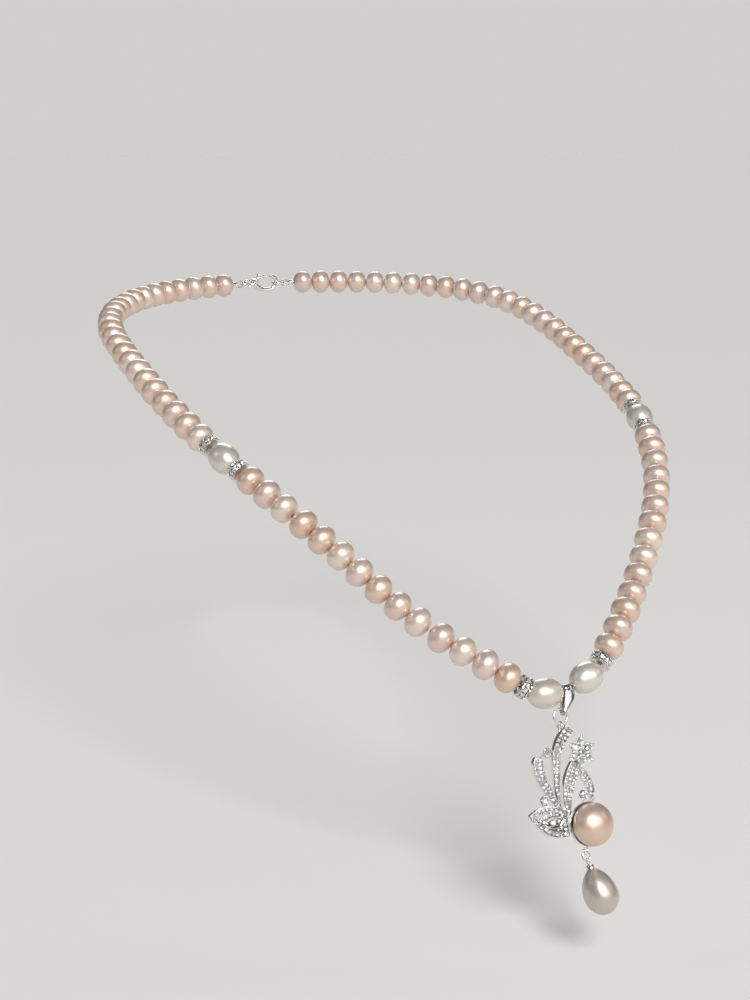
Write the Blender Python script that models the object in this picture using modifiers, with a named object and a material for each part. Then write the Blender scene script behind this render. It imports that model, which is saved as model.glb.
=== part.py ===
"""A pearl necklace with a flower pendant, hanging as it is worn, for Blender.

Sizes are in millimetres and become metres where a mesh is made. +Z is up, the chest
side faces -Y, and left and right are those of a person looking at the front. The
origin is the middle of the neck, level with the clasp at the nape.
"""

import math

import bmesh
import bpy
import numpy as np
from mathutils import Matrix, Vector

MM = 0.001

# The line of the stringing wire, from the bail up the right side, round the nape and
# down the left side. The two sides differ a little, as a worn strand does.
STRAND_LINE = (
    (0, -100, -75), (5.5, -100, -73.7), (12, -98, -69), (27.5, -86.5, -57.5),
    (38, -77, -48), (47, -66, -40), (54, -52.5, -32.5), (61, -30.5, -24.5),
    (63.5, 1, -13.5), (60, 32.5, -4), (32, 65, 0), (0, 73.5, 0.5), (-32, 65, 0),
    (-60, 32.5, -4), (-64, 0.5, -12), (-60.5, -31, -23.5), (-53, -52, -33.5),
    (-46, -65, -41.5), (-37.5, -76, -51), (-28, -85.5, -61), (-13, -98, -72),
    (-5.5, -100, -75.8),
)

# Pearls and beads on the wire.
PEARL_RADIUS = 3.25
PEARL_HALF = 2.9
PEARL_PITCH = 5.6
PEARL_SIDES = 8
BORE_RADIUS = 0.45
WIRE_RADIUS = 0.2
OVAL_RADIUS = 3.4
OVAL_HALF = 4.25
RONDELLE_RADIUS = 2.7
RONDELLE_HALF = 1.06
BEAD_GAP = 0.15
FOLD_GAP = 0.3
BAIL_SPACE = 1.15

# The pendant lies on a chest that leans back, and is drawn as (across, up, out) on it.
CHEST_LEAN = math.radians(20)
PENDANT_BASE = Vector((0, -101, -78))
RING_CENTRE = Vector((-3.1, -3.1, 0.9))
RING_MAJOR = 1.65
RING_MINOR = 0.33
LOOP_MAJOR = 0.8
LOOP_MINOR = 0.22
CUP_CENTRE = Vector((-1.0, -26.7, 0.0))
CUP_RADIUS = 4.85
BUTTON_RADIUS = 4.7
LINK_MAJOR = 0.95
LINK_MINOR = 0.2
EYE_MAJOR = 0.6
EYE_MINOR = 0.17
DROP_RADIUS = 3.9
DROP_LENGTH = 10.0
DROP_LEAN = math.radians(6)
DROP_SIDE = math.radians(11)

# The clasp at the nape.
CRIMP_LENGTH = 1.6
CRIMP_RADIUS = 0.85
WIRE_LOOP_RADIUS = 0.9
CLASP_RING_MINOR = 0.3

COLOURS = {
    "peach pearl": (0.86, 0.62, 0.50, 0.0, 0.25),
    "white pearl": (0.88, 0.86, 0.80, 0.0, 0.25),
    "champagne pearl": (0.78, 0.70, 0.62, 0.0, 0.25),
    "bright silver": (0.80, 0.80, 0.82, 1.0, 0.15),
    "steel wire": (0.55, 0.55, 0.57, 1.0, 0.35),
}

for old in list(bpy.data.objects):
    bpy.data.objects.remove(old)
necklace = bpy.data.collections.new("pearl_necklace")
bpy.context.scene.collection.children.link(necklace)


# Materials, meshes and objects


def paint(body, kind):
    """Give one body its own Principled material."""
    red, green, blue, metallic, roughness = COLOURS[kind]
    material = bpy.data.materials.new(body.name)
    material.use_nodes = True
    shader = material.node_tree.nodes["Principled BSDF"]
    shader.inputs["Base Color"].default_value = (red, green, blue, 1)
    shader.inputs["Metallic"].default_value = metallic
    shader.inputs["Roughness"].default_value = roughness
    body.data.materials.clear()
    body.data.materials.append(material)


def add_body(name, points, faces, kind, origin=(0, 0, 0), smooth=True):
    """Make one object from points in millimetres, with its origin at a chosen point."""
    origin = Vector(origin)
    mesh = bpy.data.meshes.new(name)
    mesh.from_pydata([(Vector(p) - origin) * MM for p in points], [], faces)
    mesh.validate()
    scratch = bmesh.new()
    scratch.from_mesh(mesh)
    bmesh.ops.remove_doubles(scratch, verts=scratch.verts, dist=1e-7)
    bmesh.ops.recalc_face_normals(scratch, faces=scratch.faces)
    scratch.to_mesh(mesh)
    scratch.free()
    for face in mesh.polygons:
        face.use_smooth = smooth
    body = bpy.data.objects.new(name, mesh)
    body.location = origin * MM
    necklace.objects.link(body)
    paint(body, kind)
    return body


def add_pivot(name, point):
    """An empty on a joint's axis."""
    pivot = bpy.data.objects.new(name, None)
    pivot.empty_display_size = 0.003
    pivot.location = Vector(point) * MM
    necklace.objects.link(pivot)
    return pivot


def hang(pivot, *bodies):
    """Parent bodies to a pivot without moving them."""
    for body in bodies:
        body.parent = pivot
        body.matrix_parent_inverse = Matrix.Translation(-pivot.location)


def ring_of(centre, side, rise, radius, count):
    """Points of one circle."""
    turns = [2 * math.pi * step / count for step in range(count)]
    return [centre + (side * math.cos(a) + rise * math.sin(a)) * radius for a in turns]


def skin(rings, closed=False):
    """Quads between rings of equal count, each ring an index list."""
    pairs = list(zip(rings, rings[1:]))
    if closed:
        pairs.append((rings[-1], rings[0]))
    faces = []
    for low, high in pairs:
        count = len(low)
        for i in range(count):
            j = (i + 1) % count
            faces.append((low[i], low[j], high[j], high[i]))
    return faces


def loft(name, rings, kind, closed=False, origin=(0, 0, 0), smooth=True):
    """A body through rings of points, with flat ends, or closed round on itself."""
    points = [p for ring in rings for p in ring]
    count = len(rings[0])
    indices = [list(range(k * count, (k + 1) * count)) for k in range(len(rings))]
    faces = skin(indices, closed)
    if not closed:
        faces += [tuple(indices[0]), tuple(indices[-1])]
    return add_body(name, points, faces, kind, origin, smooth)


def turned(name, profile, steps, kind, place, origin=None, closed=False):
    """A turned body: a Screw modifier spins the profile (radius, height) about Z."""
    mesh = bpy.data.meshes.new(name)
    edges = [(i, i + 1) for i in range(len(profile) - 1)]
    if closed:
        edges.append((len(profile) - 1, 0))
    mesh.from_pydata([(r * MM, 0, z * MM) for r, z in profile], edges, [])
    blank = bpy.data.objects.new(name, mesh)
    necklace.objects.link(blank)
    screw = blank.modifiers.new("turn", "SCREW")
    screw.steps = steps
    screw.render_steps = steps
    screw.use_merge_vertices = True
    screw.merge_threshold = 1e-6
    spun = bpy.data.meshes.new_from_object(
        blank.evaluated_get(bpy.context.evaluated_depsgraph_get())
    )
    points = [place @ (v.co / MM) for v in spun.vertices]
    faces = [tuple(f.vertices) for f in spun.polygons]
    bpy.data.objects.remove(blank)
    return add_body(name, points, faces, kind, place.translation if origin is None else origin)


def joined(name, pieces, kind, operation="UNION", origin=(0, 0, 0)):
    """One body from several by Boolean. The first piece is kept and the others go."""
    first = pieces[0]
    for other in pieces[1:]:
        step = first.modifiers.new(other.name, "BOOLEAN")
        step.solver = "EXACT"
        step.operation = operation
        step.object = other
    bpy.context.view_layer.update()
    mesh = bpy.data.meshes.new_from_object(
        first.evaluated_get(bpy.context.evaluated_depsgraph_get())
    )
    points = [first.matrix_world @ v.co / MM for v in mesh.vertices]
    faces = [tuple(f.vertices) for f in mesh.polygons]
    for piece in pieces:
        bpy.data.objects.remove(piece)
    return add_body(name, points, faces, kind, origin)


def frame(centre, across, up):
    """A placing matrix from a centre and two directions."""
    x = Vector(across).normalized()
    z = x.cross(Vector(up)).normalized()
    y = z.cross(x)
    return Matrix.Translation(centre) @ Matrix((x, y, z)).transposed().to_4x4()


def torus(name, centre, axis, major, minor, kind, origin=None, steps=14, sides=6):
    """A closed ring of wire."""
    axis = Vector(axis).normalized()
    side = axis.orthogonal().normalized()
    rise = axis.cross(side)
    centre = Vector(centre)
    rings = []
    for step in range(steps):
        turn = 2 * math.pi * step / steps
        arm = side * math.cos(turn) + rise * math.sin(turn)
        rings.append(ring_of(centre + arm * major, arm, axis, minor, sides))
    return loft(name, rings, kind, closed=True, origin=centre if origin is None else origin)


def tube(name, path, radii, kind, sides=6, origin=(0, 0, 0), flat=1.0, normal=None):
    """A tube along points. Flat is its thickness along the normal over its width."""
    path = [Vector(p) for p in path]
    rings = []
    for i, point in enumerate(path):
        ahead = path[min(i + 1, len(path) - 1)] - path[max(i - 1, 0)]
        along = ahead.normalized()
        rise = Vector(normal or (0, 0, 1))
        rise = (rise - along * rise.dot(along)).normalized()
        side = rise.cross(along)
        radius = radii[i] if isinstance(radii, (list, tuple)) else radii
        rings.append(ring_of(point, side, rise * flat, radius, sides))
    return loft(name, rings, kind, origin=origin)


# The strand's line


def closed_spline(points, per_span=60):
    """Points along a smooth closed cubic spline through the given ones."""
    knots = np.array(points, float)
    count = len(knots)
    after = np.roll(knots, -1, axis=0)
    span = np.linalg.norm(after - knots, axis=1)
    system = np.zeros((count, count))
    slopes = (after - knots) / span[:, None]
    for i in range(count):
        system[i, i - 1] += span[i - 1]
        system[i, i] += 2 * (span[i - 1] + span[i])
        system[i, (i + 1) % count] += span[i]
    bends = np.linalg.solve(system, 6 * (slopes - np.roll(slopes, 1, axis=0)))
    line = []
    for i in range(count):
        j = (i + 1) % count
        for part in np.arange(per_span) / per_span:
            rest = 1 - part
            bend = (rest**3 - rest) * bends[i] + (part**3 - part) * bends[j]
            line.append(rest * knots[i] + part * knots[j] + span[i] ** 2 / 6 * bend)
    line.append(line[0])
    return np.array(line)


LINE = closed_spline(STRAND_LINE)
LENGTHS = np.concatenate([[0], np.cumsum(np.linalg.norm(np.diff(LINE, axis=0), axis=1))])
STRAND_LENGTH = float(LENGTHS[-1])


def on_strand(distance):
    """The wire's point this far from the bail: positive up the right side."""
    distance %= STRAND_LENGTH
    return Vector([float(np.interp(distance, LENGTHS, LINE[:, k])) for k in range(3)])


def along_strand(distance):
    """The wire's direction there, away from the bail up the right side."""
    return (on_strand(distance + 0.5) - on_strand(distance - 0.5)).normalized()


def strand_ring(distance, radius, sides):
    """A circle square to the wire."""
    along = along_strand(distance)
    side = along.cross(Vector((0, 0, 1))).normalized()
    return ring_of(on_strand(distance), side, side.cross(along), radius, sides)


# Where each bead sits, counted along one side from the bail


def bead_layout():
    """Lists of runs, single beads and folds as distances from the bail."""
    layout = {"single": [], "run": [], "fold": []}
    at = BAIL_SPACE
    for name, count in (
        ("oval_front", 0), ("rondelle_front", 0), ("front", 4), ("fold", 0), ("side", 7),
        ("fold", 0), ("shoulder_lower", 3), ("rondelle_shoulder_lower", 0),
        ("oval_shoulder", 0), ("rondelle_shoulder_upper", 0), ("shoulder_upper", 4),
        ("fold", 0), ("back_lower", 5), ("back_upper", 5), ("fold", 0),
        ("nape_lower", 5), ("nape_upper", 6),
    ):
        if name == "fold":
            at += PEARL_TIP - PEARL_PITCH / 2 - BEAD_GAP
            layout["fold"].append(at + FOLD_GAP / 2)
            at += FOLD_GAP + PEARL_TIP - PEARL_PITCH / 2
        elif count:
            layout["run"].append((name, at, count))
            at += count * PEARL_PITCH + BEAD_GAP
        else:
            half = OVAL_HALF if name.startswith("oval") else RONDELLE_HALF
            layout["single"].append((name, at + half))
            at += 2 * half + BEAD_GAP
    layout["end"] = at
    return layout


def bore_edge(radius, half, bore):
    """How far from its middle a rounded bead meets its bore."""
    return half * math.sqrt(1 - (bore / radius) ** 2)


PEARL_TIP = bore_edge(PEARL_RADIUS, PEARL_HALF, BORE_RADIUS)
LAYOUT = bead_layout()
FOLDS = LAYOUT["fold"]


def near_fold(distance):
    return any(abs(distance - fold) < 0.5 for fold in FOLDS)


def pearl_run(name, start, count, sign):
    """Pearls side by side on the wire as one bored body, pressed flat where they meet."""
    end = start + count * PEARL_PITCH
    low = start - (PEARL_TIP - PEARL_PITCH / 2) if near_fold(start - 0.3) else start
    high = end + (PEARL_TIP - PEARL_PITCH / 2) if near_fold(end + 0.3) else end
    stations = []
    for k in range(count):
        middle = start + (k + 0.5) * PEARL_PITCH
        for part in (-0.5, -0.3, 0, 0.3, 0.5):
            place = min(max(middle + part * PEARL_PITCH, low), high)
            if part == -0.5 and k == 0:
                place = low
            if part == 0.5 and k == count - 1:
                place = high
            if stations and place - stations[-1][0] < 0.01:
                continue
            swell = max(0.0, 1 - ((place - middle) / PEARL_HALF) ** 2)
            stations.append((place, max(PEARL_RADIUS * math.sqrt(swell), BORE_RADIUS + 0.02)))
    outer = [strand_ring(sign * s, r, PEARL_SIDES) for s, r in stations]
    stops = [low] + [start + k * PEARL_PITCH for k in range(1, count)] + [high]
    inner = [strand_ring(sign * s, BORE_RADIUS, PEARL_SIDES) for s in reversed(stops)]
    return loft(name, outer + inner, "peach pearl", closed=True)


def threaded(name, distance, radius, half, profile, steps, kind):
    """A single bead, turned about the wire's direction at its middle."""
    along = along_strand(distance)
    side = along.cross(Vector((0, 0, 1))).normalized()
    place = frame(on_strand(distance), side, along.cross(side))
    return turned(name, profile, steps, kind, place, closed=True)


def oval_profile():
    tip = bore_edge(OVAL_RADIUS, OVAL_HALF, BORE_RADIUS)
    heights = [tip, 3.6, 2.2, 0, -2.2, -3.6, -tip]
    outer = [(OVAL_RADIUS * math.sqrt(1 - (h / OVAL_HALF) ** 2), h) for h in heights]
    return outer + [(BORE_RADIUS, h) for h in (-tip + 0.02, tip - 0.02)]


def rondelle_profile():
    rim, waist, half = RONDELLE_RADIUS, RONDELLE_RADIUS - 0.35, RONDELLE_HALF
    outer = [(rim - 0.2, half), (rim, half - 0.2), (waist, half - 0.5)]
    outer += [(r, -h) for r, h in reversed(outer)]
    return outer + [(BORE_RADIUS, -half), (BORE_RADIUS, half)]


SIDES = (("left", -1), ("right", 1))
groups = {name: [] for name in ("front", "side", "shoulder", "back", "nape")}


def group_of(name):
    return next(key for key in groups if key in name)


for label, sign in SIDES:
    for name, start, count in LAYOUT["run"]:
        run = pearl_run(f"pearls_{name}_{label}", start, count, sign)
        groups[group_of(name)].append(run)

beads = {"front": [], "shoulder": []}
for label, sign in SIDES:
    for name, place in LAYOUT["single"]:
        if name.startswith("oval"):
            bead = threaded(
                f"{name}_{label}", sign * place, OVAL_RADIUS, OVAL_HALF,
                oval_profile(), 12, "white pearl",
            )
        else:
            bead = threaded(
                f"{name}_{label}", sign * place, RONDELLE_RADIUS, RONDELLE_HALF,
                rondelle_profile(), 12, "bright silver",
            )
        beads[group_of(name)].append(bead)


# The stringing wire, parted at each fold


def wire_path(low, high, sign):
    """The wire's points between two distances on one side. It runs straight through a
    single bead, and bends where pearls meet."""
    points = []
    for _, start, count in LAYOUT["run"]:
        for k in range(count + 1):
            place = start + k * PEARL_PITCH
            points.append((place, on_strand(sign * place)))
    for name, place in LAYOUT["single"]:
        half = OVAL_HALF if name.startswith("oval") else RONDELLE_HALF
        middle = on_strand(sign * place)
        for step in (-half, half):
            points.append((place + step, middle + along_strand(sign * place) * sign * step))
    inside = sorted((p for p in points if low + 1 < p[0] < high - 1), key=lambda p: p[0])
    return [on_strand(sign * low)] + [p for _, p in inside] + [on_strand(sign * high)]


EDGES = [0] + FOLDS
for index, name in enumerate(("front", "side", "shoulder", "back")):
    low = EDGES[index] + FOLD_GAP / 2
    high = EDGES[index + 1] - FOLD_GAP / 2
    if index == 0:
        halves = [wire_path(0, high, sign)[1:] for _, sign in SIDES]
        whole = halves[0][::-1] + halves[1]
        wire = tube("wire_front", whole, WIRE_RADIUS, "steel wire")
        groups["front"].append(wire)
        continue
    for label, sign in SIDES:
        path = wire_path(low, high, sign)
        wire = tube(f"wire_{name}_{label}", path, WIRE_RADIUS, "steel wire")
        groups[name].append(wire)


# The clasp


def nape_frame(distance, sign):
    """Placing frame on the wire near the nape: +X to the clasp, +Z away from the neck."""
    along = along_strand(sign * distance) * sign
    side = Vector((0, 0, 1))
    side = (side - along * side.dot(along)).normalized()
    return frame(on_strand(sign * distance), along, side)


CRIMP_START = LAYOUT["end"]
for label, sign in SIDES:
    place = nape_frame(CRIMP_START, sign)
    reach = WIRE_LOOP_RADIUS
    middle = CRIMP_LENGTH + 0.5 + 0.78
    turns = [math.radians(a) for a in range(150, -151, -30)]
    loop = [(middle + reach * math.cos(a), reach * math.sin(a)) for a in turns]
    hook = [(0.1, 0.22), (CRIMP_LENGTH, 0.22)] + loop + [(CRIMP_LENGTH, -0.22), (0.2, -0.22)]
    path = [place @ Vector((x, y, 0)) for x, y in hook]
    normal = place.to_3x3() @ Vector((0, 0, 1))
    strand = wire_path(FOLDS[3] + FOLD_GAP / 2, CRIMP_START - 0.3, sign)
    wire = tube(f"wire_nape_{label}", strand + path, WIRE_RADIUS, "steel wire", 6, normal=normal)
    groups["nape"].append(wire)
    shell = [
        (CRIMP_RADIUS - 0.1, CRIMP_LENGTH), (CRIMP_RADIUS, CRIMP_LENGTH - 0.15),
        (CRIMP_RADIUS, 0.15), (CRIMP_RADIUS - 0.1, 0), (0.5, 0), (0.5, CRIMP_LENGTH),
    ]
    lie = place @ Matrix.Rotation(math.radians(90), 4, "Y")
    groups["nape"].append(turned(f"crimp_{label}", shell, 10, "bright silver", lie, closed=True))

# The lobster clasp is drawn as (along, up, out) with its middle at the nape.
NAPE = frame(on_strand(STRAND_LENGTH / 2), (1, 0, 0), (0, 0, 1))
EYE_AT = Vector((-4.55, 0, 0))
PIVOT_AT = Vector((-2.1, 0.95, 0))


def at_nape(points):
    return [NAPE @ Vector(p) for p in points]


def block(name, centre, size, place=NAPE):
    """A plain box, for a cutter or a lug."""
    points = []
    for x in (-0.5, 0.5):
        for y, z in ((-0.5, -0.5), (0.5, -0.5), (0.5, 0.5), (-0.5, 0.5)):
            corner = [c + part * s for c, part, s in zip(centre, (x, y, z), size)]
            points.append(place @ Vector(corner))
    return loft(name, [points[:4], points[4:]], "bright silver", smooth=False)


def rod(name, centre, radius, length, place=NAPE, sides=10, kind="bright silver"):
    """A plain round rod standing out of the drawing plane."""
    rings = []
    for height in (-length / 2, length / 2):
        middle = Vector(centre) + Vector((0, 0, height))
        ring = ring_of(middle, Vector((1, 0, 0)), Vector((0, 1, 0)), radius, sides)
        rings.append([place @ p for p in ring])
    return loft(name, rings, kind)


out_at_nape = NAPE.to_3x3() @ Vector((0, 0, 1))
hook_line = at_nape([
    (-3.5, 0, 0), (-2.8, -0.35, 0), (-1.9, -0.95, 0), (-0.2, -1.75, 0), (1.9, -2.0, 0),
    (3.7, -1.4, 0), (4.6, -0.1, 0), (4.3, 1.2, 0), (3.3, 1.95, 0), (2.6, 2.1, 0),
])
hook_radii = [0.4, 0.75, 0.8, 0.7, 0.62, 0.6, 0.6, 0.58, 0.52, 0.42]
claw = joined("clasp_claw", [
    tube("hook", hook_line, hook_radii, "bright silver", 8, flat=1.1, normal=out_at_nape),
    torus("eye", NAPE @ EYE_AT, out_at_nape, 0.95, 0.38, "bright silver", steps=12),
    rod("boss", PIVOT_AT + Vector((-0.15, -0.25, 0)), 0.95, 1.9, sides=12),
], "bright silver")
claw = joined("clasp_claw", [
    claw,
    block("slot", PIVOT_AT + Vector((0.6, 0.45, 0)), (2.6, 2.0, 0.95)),
    rod("pin_hole", PIVOT_AT, 0.3, 4),
], "bright silver", "DIFFERENCE", NAPE @ EYE_AT)
lever_line = at_nape([
    (-2.1, 0.95, 0), (-1.5, 1.35, 0), (-0.4, 1.85, 0), (0.9, 2.15, 0), (2.15, 2.15, 0),
])
lever = joined("clasp_lever", [
    tube("arm", lever_line, [0.4, 0.4, 0.4, 0.4, 0.36], "bright silver", 8, normal=out_at_nape),
    rod("knuckle", PIVOT_AT, 0.55, 0.75),
    rod("thumb_tab", (-0.9, 2.25, 0), 0.55, 0.7, sides=8),
], "bright silver")
lever = joined("clasp_lever", [
    lever, rod("lever_hole", PIVOT_AT, 0.3, 3),
], "bright silver", "DIFFERENCE", NAPE @ PIVOT_AT)
pin = rod("clasp_pin", PIVOT_AT, 0.25, 1.9)


def loop_centre(sign):
    """Middle of the wire's end loop on one side."""
    place = nape_frame(CRIMP_START, sign)
    return place @ Vector((CRIMP_LENGTH + 0.5 + 0.78, 0, 0))


tail_link = NAPE @ (EYE_AT + Vector((-0.1, 0, 0)))
tail_far = loop_centre(-1) + Vector((0.3, 0, 0))
tail_ring = torus(
    "clasp_tail_ring", (tail_link + tail_far) / 2, (0, 0, 1),
    (tail_link - tail_far).length / 2, CLASP_RING_MINOR, "bright silver",
)
catch_link = NAPE @ Vector((3.55, 0, 0))
catch_far = loop_centre(1) - Vector((0.3, 0, 0))
catch_ring = torus(
    "clasp_catch_ring", (catch_link + catch_far) / 2, (0, 0, 1),
    (catch_link - catch_far).length / 2, CLASP_RING_MINOR + 0.05, "bright silver",
)


# The pendant

CHEST = Matrix.Translation(PENDANT_BASE) @ Matrix.Rotation(math.radians(90) - CHEST_LEAN, 4, "X")
front_ends = [wire_path(0, FOLDS[0], sign)[1] for _, sign in SIDES]
WIRE_AT_BAIL = CHEST.inverted() @ ((front_ends[0] + front_ends[1]) / 2)


def on_chest(points):
    return [CHEST @ Vector(p) for p in points]


def chest_way(across, up, out=0.0):
    return CHEST.to_3x3() @ Vector((across, up, out))


def eased(points, count):
    """Evenly numbered points on a smooth line through the given ones."""
    knots = np.array(points, float)
    padded = np.vstack([2 * knots[0] - knots[1], knots, 2 * knots[-1] - knots[-2]])
    line = []
    for t in np.linspace(0, len(knots) - 1, count):
        i = min(int(t), len(knots) - 2)
        u = t - i
        a, b, c, d = padded[i:i + 4]
        line.append(0.5 * (2 * b + (c - a) * u + (2 * a - 5 * b + 4 * c - d) * u**2
                           + (3 * b - a - 3 * c + d) * u**3))
    return line


def ribbon(name, stations, count=9):
    """A flat band on the chest from (across, up, width, back) along its middle."""
    line = eased(stations, count)
    rings = []
    for i, (x, y, width, back) in enumerate(line):
        ahead = line[min(i + 1, count - 1)][:2] - line[max(i - 1, 0)][:2]
        side = Vector((-ahead[1], ahead[0], 0)).normalized() * width / 2
        middle = Vector((x, y, back))
        rings.append(on_chest([
            middle - side, middle + side, middle + side + Vector((0, 0, 0.85)),
            middle + Vector((0, 0, 1.0)), middle - side + Vector((0, 0, 0.85)),
        ]))
    return loft(name, rings, "bright silver", smooth=False)


def plate(name, outline, back, front, crown=None, crown_height=0.0):
    """A flat shape on the chest, with its front raised to a crown point if given."""
    low = on_chest([(x, y, back) for x, y in outline])
    high = on_chest([(x, y, front) for x, y in outline])
    points = low + high
    count = len(outline)
    faces = skin([list(range(count)), list(range(count, 2 * count))])
    faces.append(tuple(range(count)))
    if crown is None:
        faces.append(tuple(range(count, 2 * count)))
    else:
        points += on_chest([(crown[0], crown[1], front + crown_height)])
        faces += [(count + i, count + (i + 1) % count, 2 * count) for i in range(count)]
    return add_body(name, points, faces, "bright silver", smooth=False)


def round_outline(centre, radius, count, dip=1.0):
    """A circle, or a star when every other point is drawn in."""
    points = []
    for step in range(count):
        reach = radius * (dip if step % 2 else 1.0)
        turn = 2 * math.pi * step / count + math.radians(20)
        points.append((centre[0] + reach * math.cos(turn), centre[1] + reach * math.sin(turn)))
    return points


def bail_edges(up):
    """Left and right edges of the tapered, slanting bail at one height."""
    heights = [-2.6, -2.0, -1.0, 0.0, 1.0, 2.0, 3.2, 3.9]
    lefts = [-2.75, -2.55, -2.2, -1.75, -1.3, -0.95, -0.9, -0.9]
    rights = [-2.3, -1.75, -0.7, 0.2, 0.95, 1.1, 0.95, 0.9]
    return float(np.interp(up, heights, lefts)), float(np.interp(up, heights, rights))


def make_bail():
    """A strap round the wire that narrows to a tip held in the jump ring."""
    top = (WIRE_AT_BAIL.y, WIRE_AT_BAIL.z, 0.75)
    tip = (RING_CENTRE.y + RING_MAJOR * 0.7, RING_CENTRE.z, 0.55)
    line = [(top[0] + top[2] * math.sin(a), top[1] + top[2] * math.cos(a))
            for a in [math.radians(t) for t in range(0, 181, 36)]]
    line += [(2.0, -0.55), (0.6, -0.3), (-0.9, 0.05)]
    line += [(tip[0] + tip[2] * math.sin(a), tip[1] + tip[2] * math.cos(a))
             for a in [math.radians(t) for t in range(190, 351, 40)]]
    line += [(-0.9, 1.4), (0.6, 1.25), (2.0, 1.05)]
    count = len(line)
    rings = []
    for i, (up, out) in enumerate(line):
        before, after = line[i - 1], line[(i + 1) % count]
        way = Vector((after[0] - before[0], after[1] - before[1])).normalized()
        away = Vector((-way.y, way.x)) * 0.14
        left, right = bail_edges(up)
        rings.append(on_chest([
            (left, up + away.x, out + away.y), (right, up + away.x, out + away.y),
            (right, up - away.x, out - away.y), (left, up - away.x, out - away.y),
        ]))
    return loft("bail", rings, "bright silver", closed=True, origin=CHEST @ WIRE_AT_BAIL)


bail = make_bail()
jump_ring = torus(
    "pendant_ring", CHEST @ RING_CENTRE, chest_way(0, 0, 1), RING_MAJOR, RING_MINOR,
    "bright silver", steps=16, origin=CHEST @ (RING_CENTRE + Vector((1.15, 1.15, 0))),
)
HANG_WAY = Vector((-0.3, -0.954, 0))
LOOP_CENTRE = RING_CENTRE + HANG_WAY * (RING_MAJOR + 0.15)
LOOP_END = LOOP_CENTRE + HANG_WAY * LOOP_MAJOR
central_ribbon = joined("ribbon_central", [
    ribbon("band", [
        (-1.95, -5.5, 2.5, 1.45), (-3.2, -7.0, 2.5, 0.9), (-4.6, -8.85, 2.3, 0.4),
        (-6.05, -12.1, 2.0, 0.4), (-6.75, -16.4, 1.45, 0.4), (-6.85, -20.3, 0.8, 0.4),
    ], 11),
    torus("loop", CHEST @ LOOP_CENTRE, chest_way(0.954, -0.3), LOOP_MAJOR, LOOP_MINOR,
          "bright silver", steps=12),
    tube("peg", on_chest([
        LOOP_END + Vector((0, 0.1, 0)), LOOP_END + Vector((-0.1, -0.5, 0.1)),
        (-4.1, -7.2, 1.1), (-4.4, -8.2, 0.9),
    ]), 0.3, "bright silver"),
], "bright silver")
left_ribbon = ribbon("ribbon_left", [
    (-10.25, -11.05, 2.0, 0.4), (-10.35, -12.4, 2.6, 0.4), (-10.3, -15.0, 2.3, 0.4),
    (-9.2, -18.0, 2.0, 0.4), (-7.55, -20.9, 0.9, 0.4),
])
stem_ribbon = ribbon("ribbon_stem", [
    (-1.3, -13.3, 2.2, 0.4), (-2.6, -15.4, 2.7, 0.4), (-4.0, -18.0, 2.5, 0.4),
    (-4.85, -20.5, 1.9, 0.4), (-5.1, -22.7, 1.2, 0.4),
])
right_ribbon = ribbon("ribbon_right", [
    (0.3, -14.85, 1.3, 0.4), (1.0, -17.4, 1.8, 0.4), (1.45, -19.7, 1.6, 0.4),
    (1.2, -21.4, 0.9, 0.4),
])
leaf = plate("leaf", [
    (-14.8, -22.7), (-13.2, -21.75), (-11.3, -21.3), (-9.2, -21.45), (-7.4, -22.3),
    (-6.3, -23.6), (-6.15, -25.3), (-6.15, -27.0), (-6.2, -28.2), (-8.3, -28.3),
    (-10.6, -27.6), (-12.6, -26.0), (-13.9, -24.4),
], 0.4, 1.2, (-9.3, -24.7), 0.8)
flower = plate("flower", round_outline((-0.2, -11.3), 3.1, 12, 0.62), 1.7, 2.4, (-0.2, -11.3), 0.7)
clusters = [
    plate("cluster_upper", round_outline((-7.95, -10.15), 1.15, 8), 0.4, 1.3, (-7.95, -10.15), 0.4),
    plate("cluster_lower", round_outline((-10.6, -20.0), 1.05, 8), 0.4, 1.3, (-10.6, -20.0), 0.4),
    plate("cluster_right", [
        (-1.05, -22.0), (-0.75, -22.0), (-0.7, -21.4), (-0.0, -21.1), (0.3, -20.4), (0.0, -19.6),
        (-0.8, -19.25), (-1.6, -19.6), (-1.9, -20.4), (-1.6, -21.1), (-1.1, -21.4),
    ], 0.4, 1.3, (-0.8, -20.4), 0.4),
]

# The cup with its post and hanging loop, and the button pearl set on it.
cup_place = CHEST @ Matrix.Translation(CUP_CENTRE)
cup_profile = [
    (CUP_RADIUS, 2.1), (CUP_RADIUS - 0.15, 1.3), (3.7, 0.6), (2.9, 0.3), (0, 0.3),
]
cup_inside = [(0, 2.9), (0.45, 2.9), (0.45, 0.7), (3.1, 0.7), (3.75, 1.1), (4.45, 2.1)]
cup = turned("bowl", cup_inside + cup_profile, 20, "bright silver", cup_place)
RIM_WAY = Vector((-0.33, -0.944, 0))
CUP_LOOP = CUP_CENTRE + RIM_WAY * 5.6 + Vector((0, 0, 1.6))
cup = joined("pearl_cup", [
    cup,
    torus("cup_loop", CHEST @ CUP_LOOP, chest_way(0.944, -0.33), 0.75, 0.2, "bright silver", steps=12),
], "bright silver")
button_profile = [(0, 7.1)]
for angle in (72, 54, 36, 18, 0):
    turn = math.radians(angle)
    button_profile.append((BUTTON_RADIUS * math.cos(turn), 3.4 + 3.7 * math.sin(turn)))
button_profile += [(4.35, 2.25), (3.75, 1.6), (2.8, 1.0), (0.75, 1.0), (0.75, 3.2), (0, 3.2)]
button = turned("button_pearl", button_profile, 20, "peach pearl", cup_place)

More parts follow.
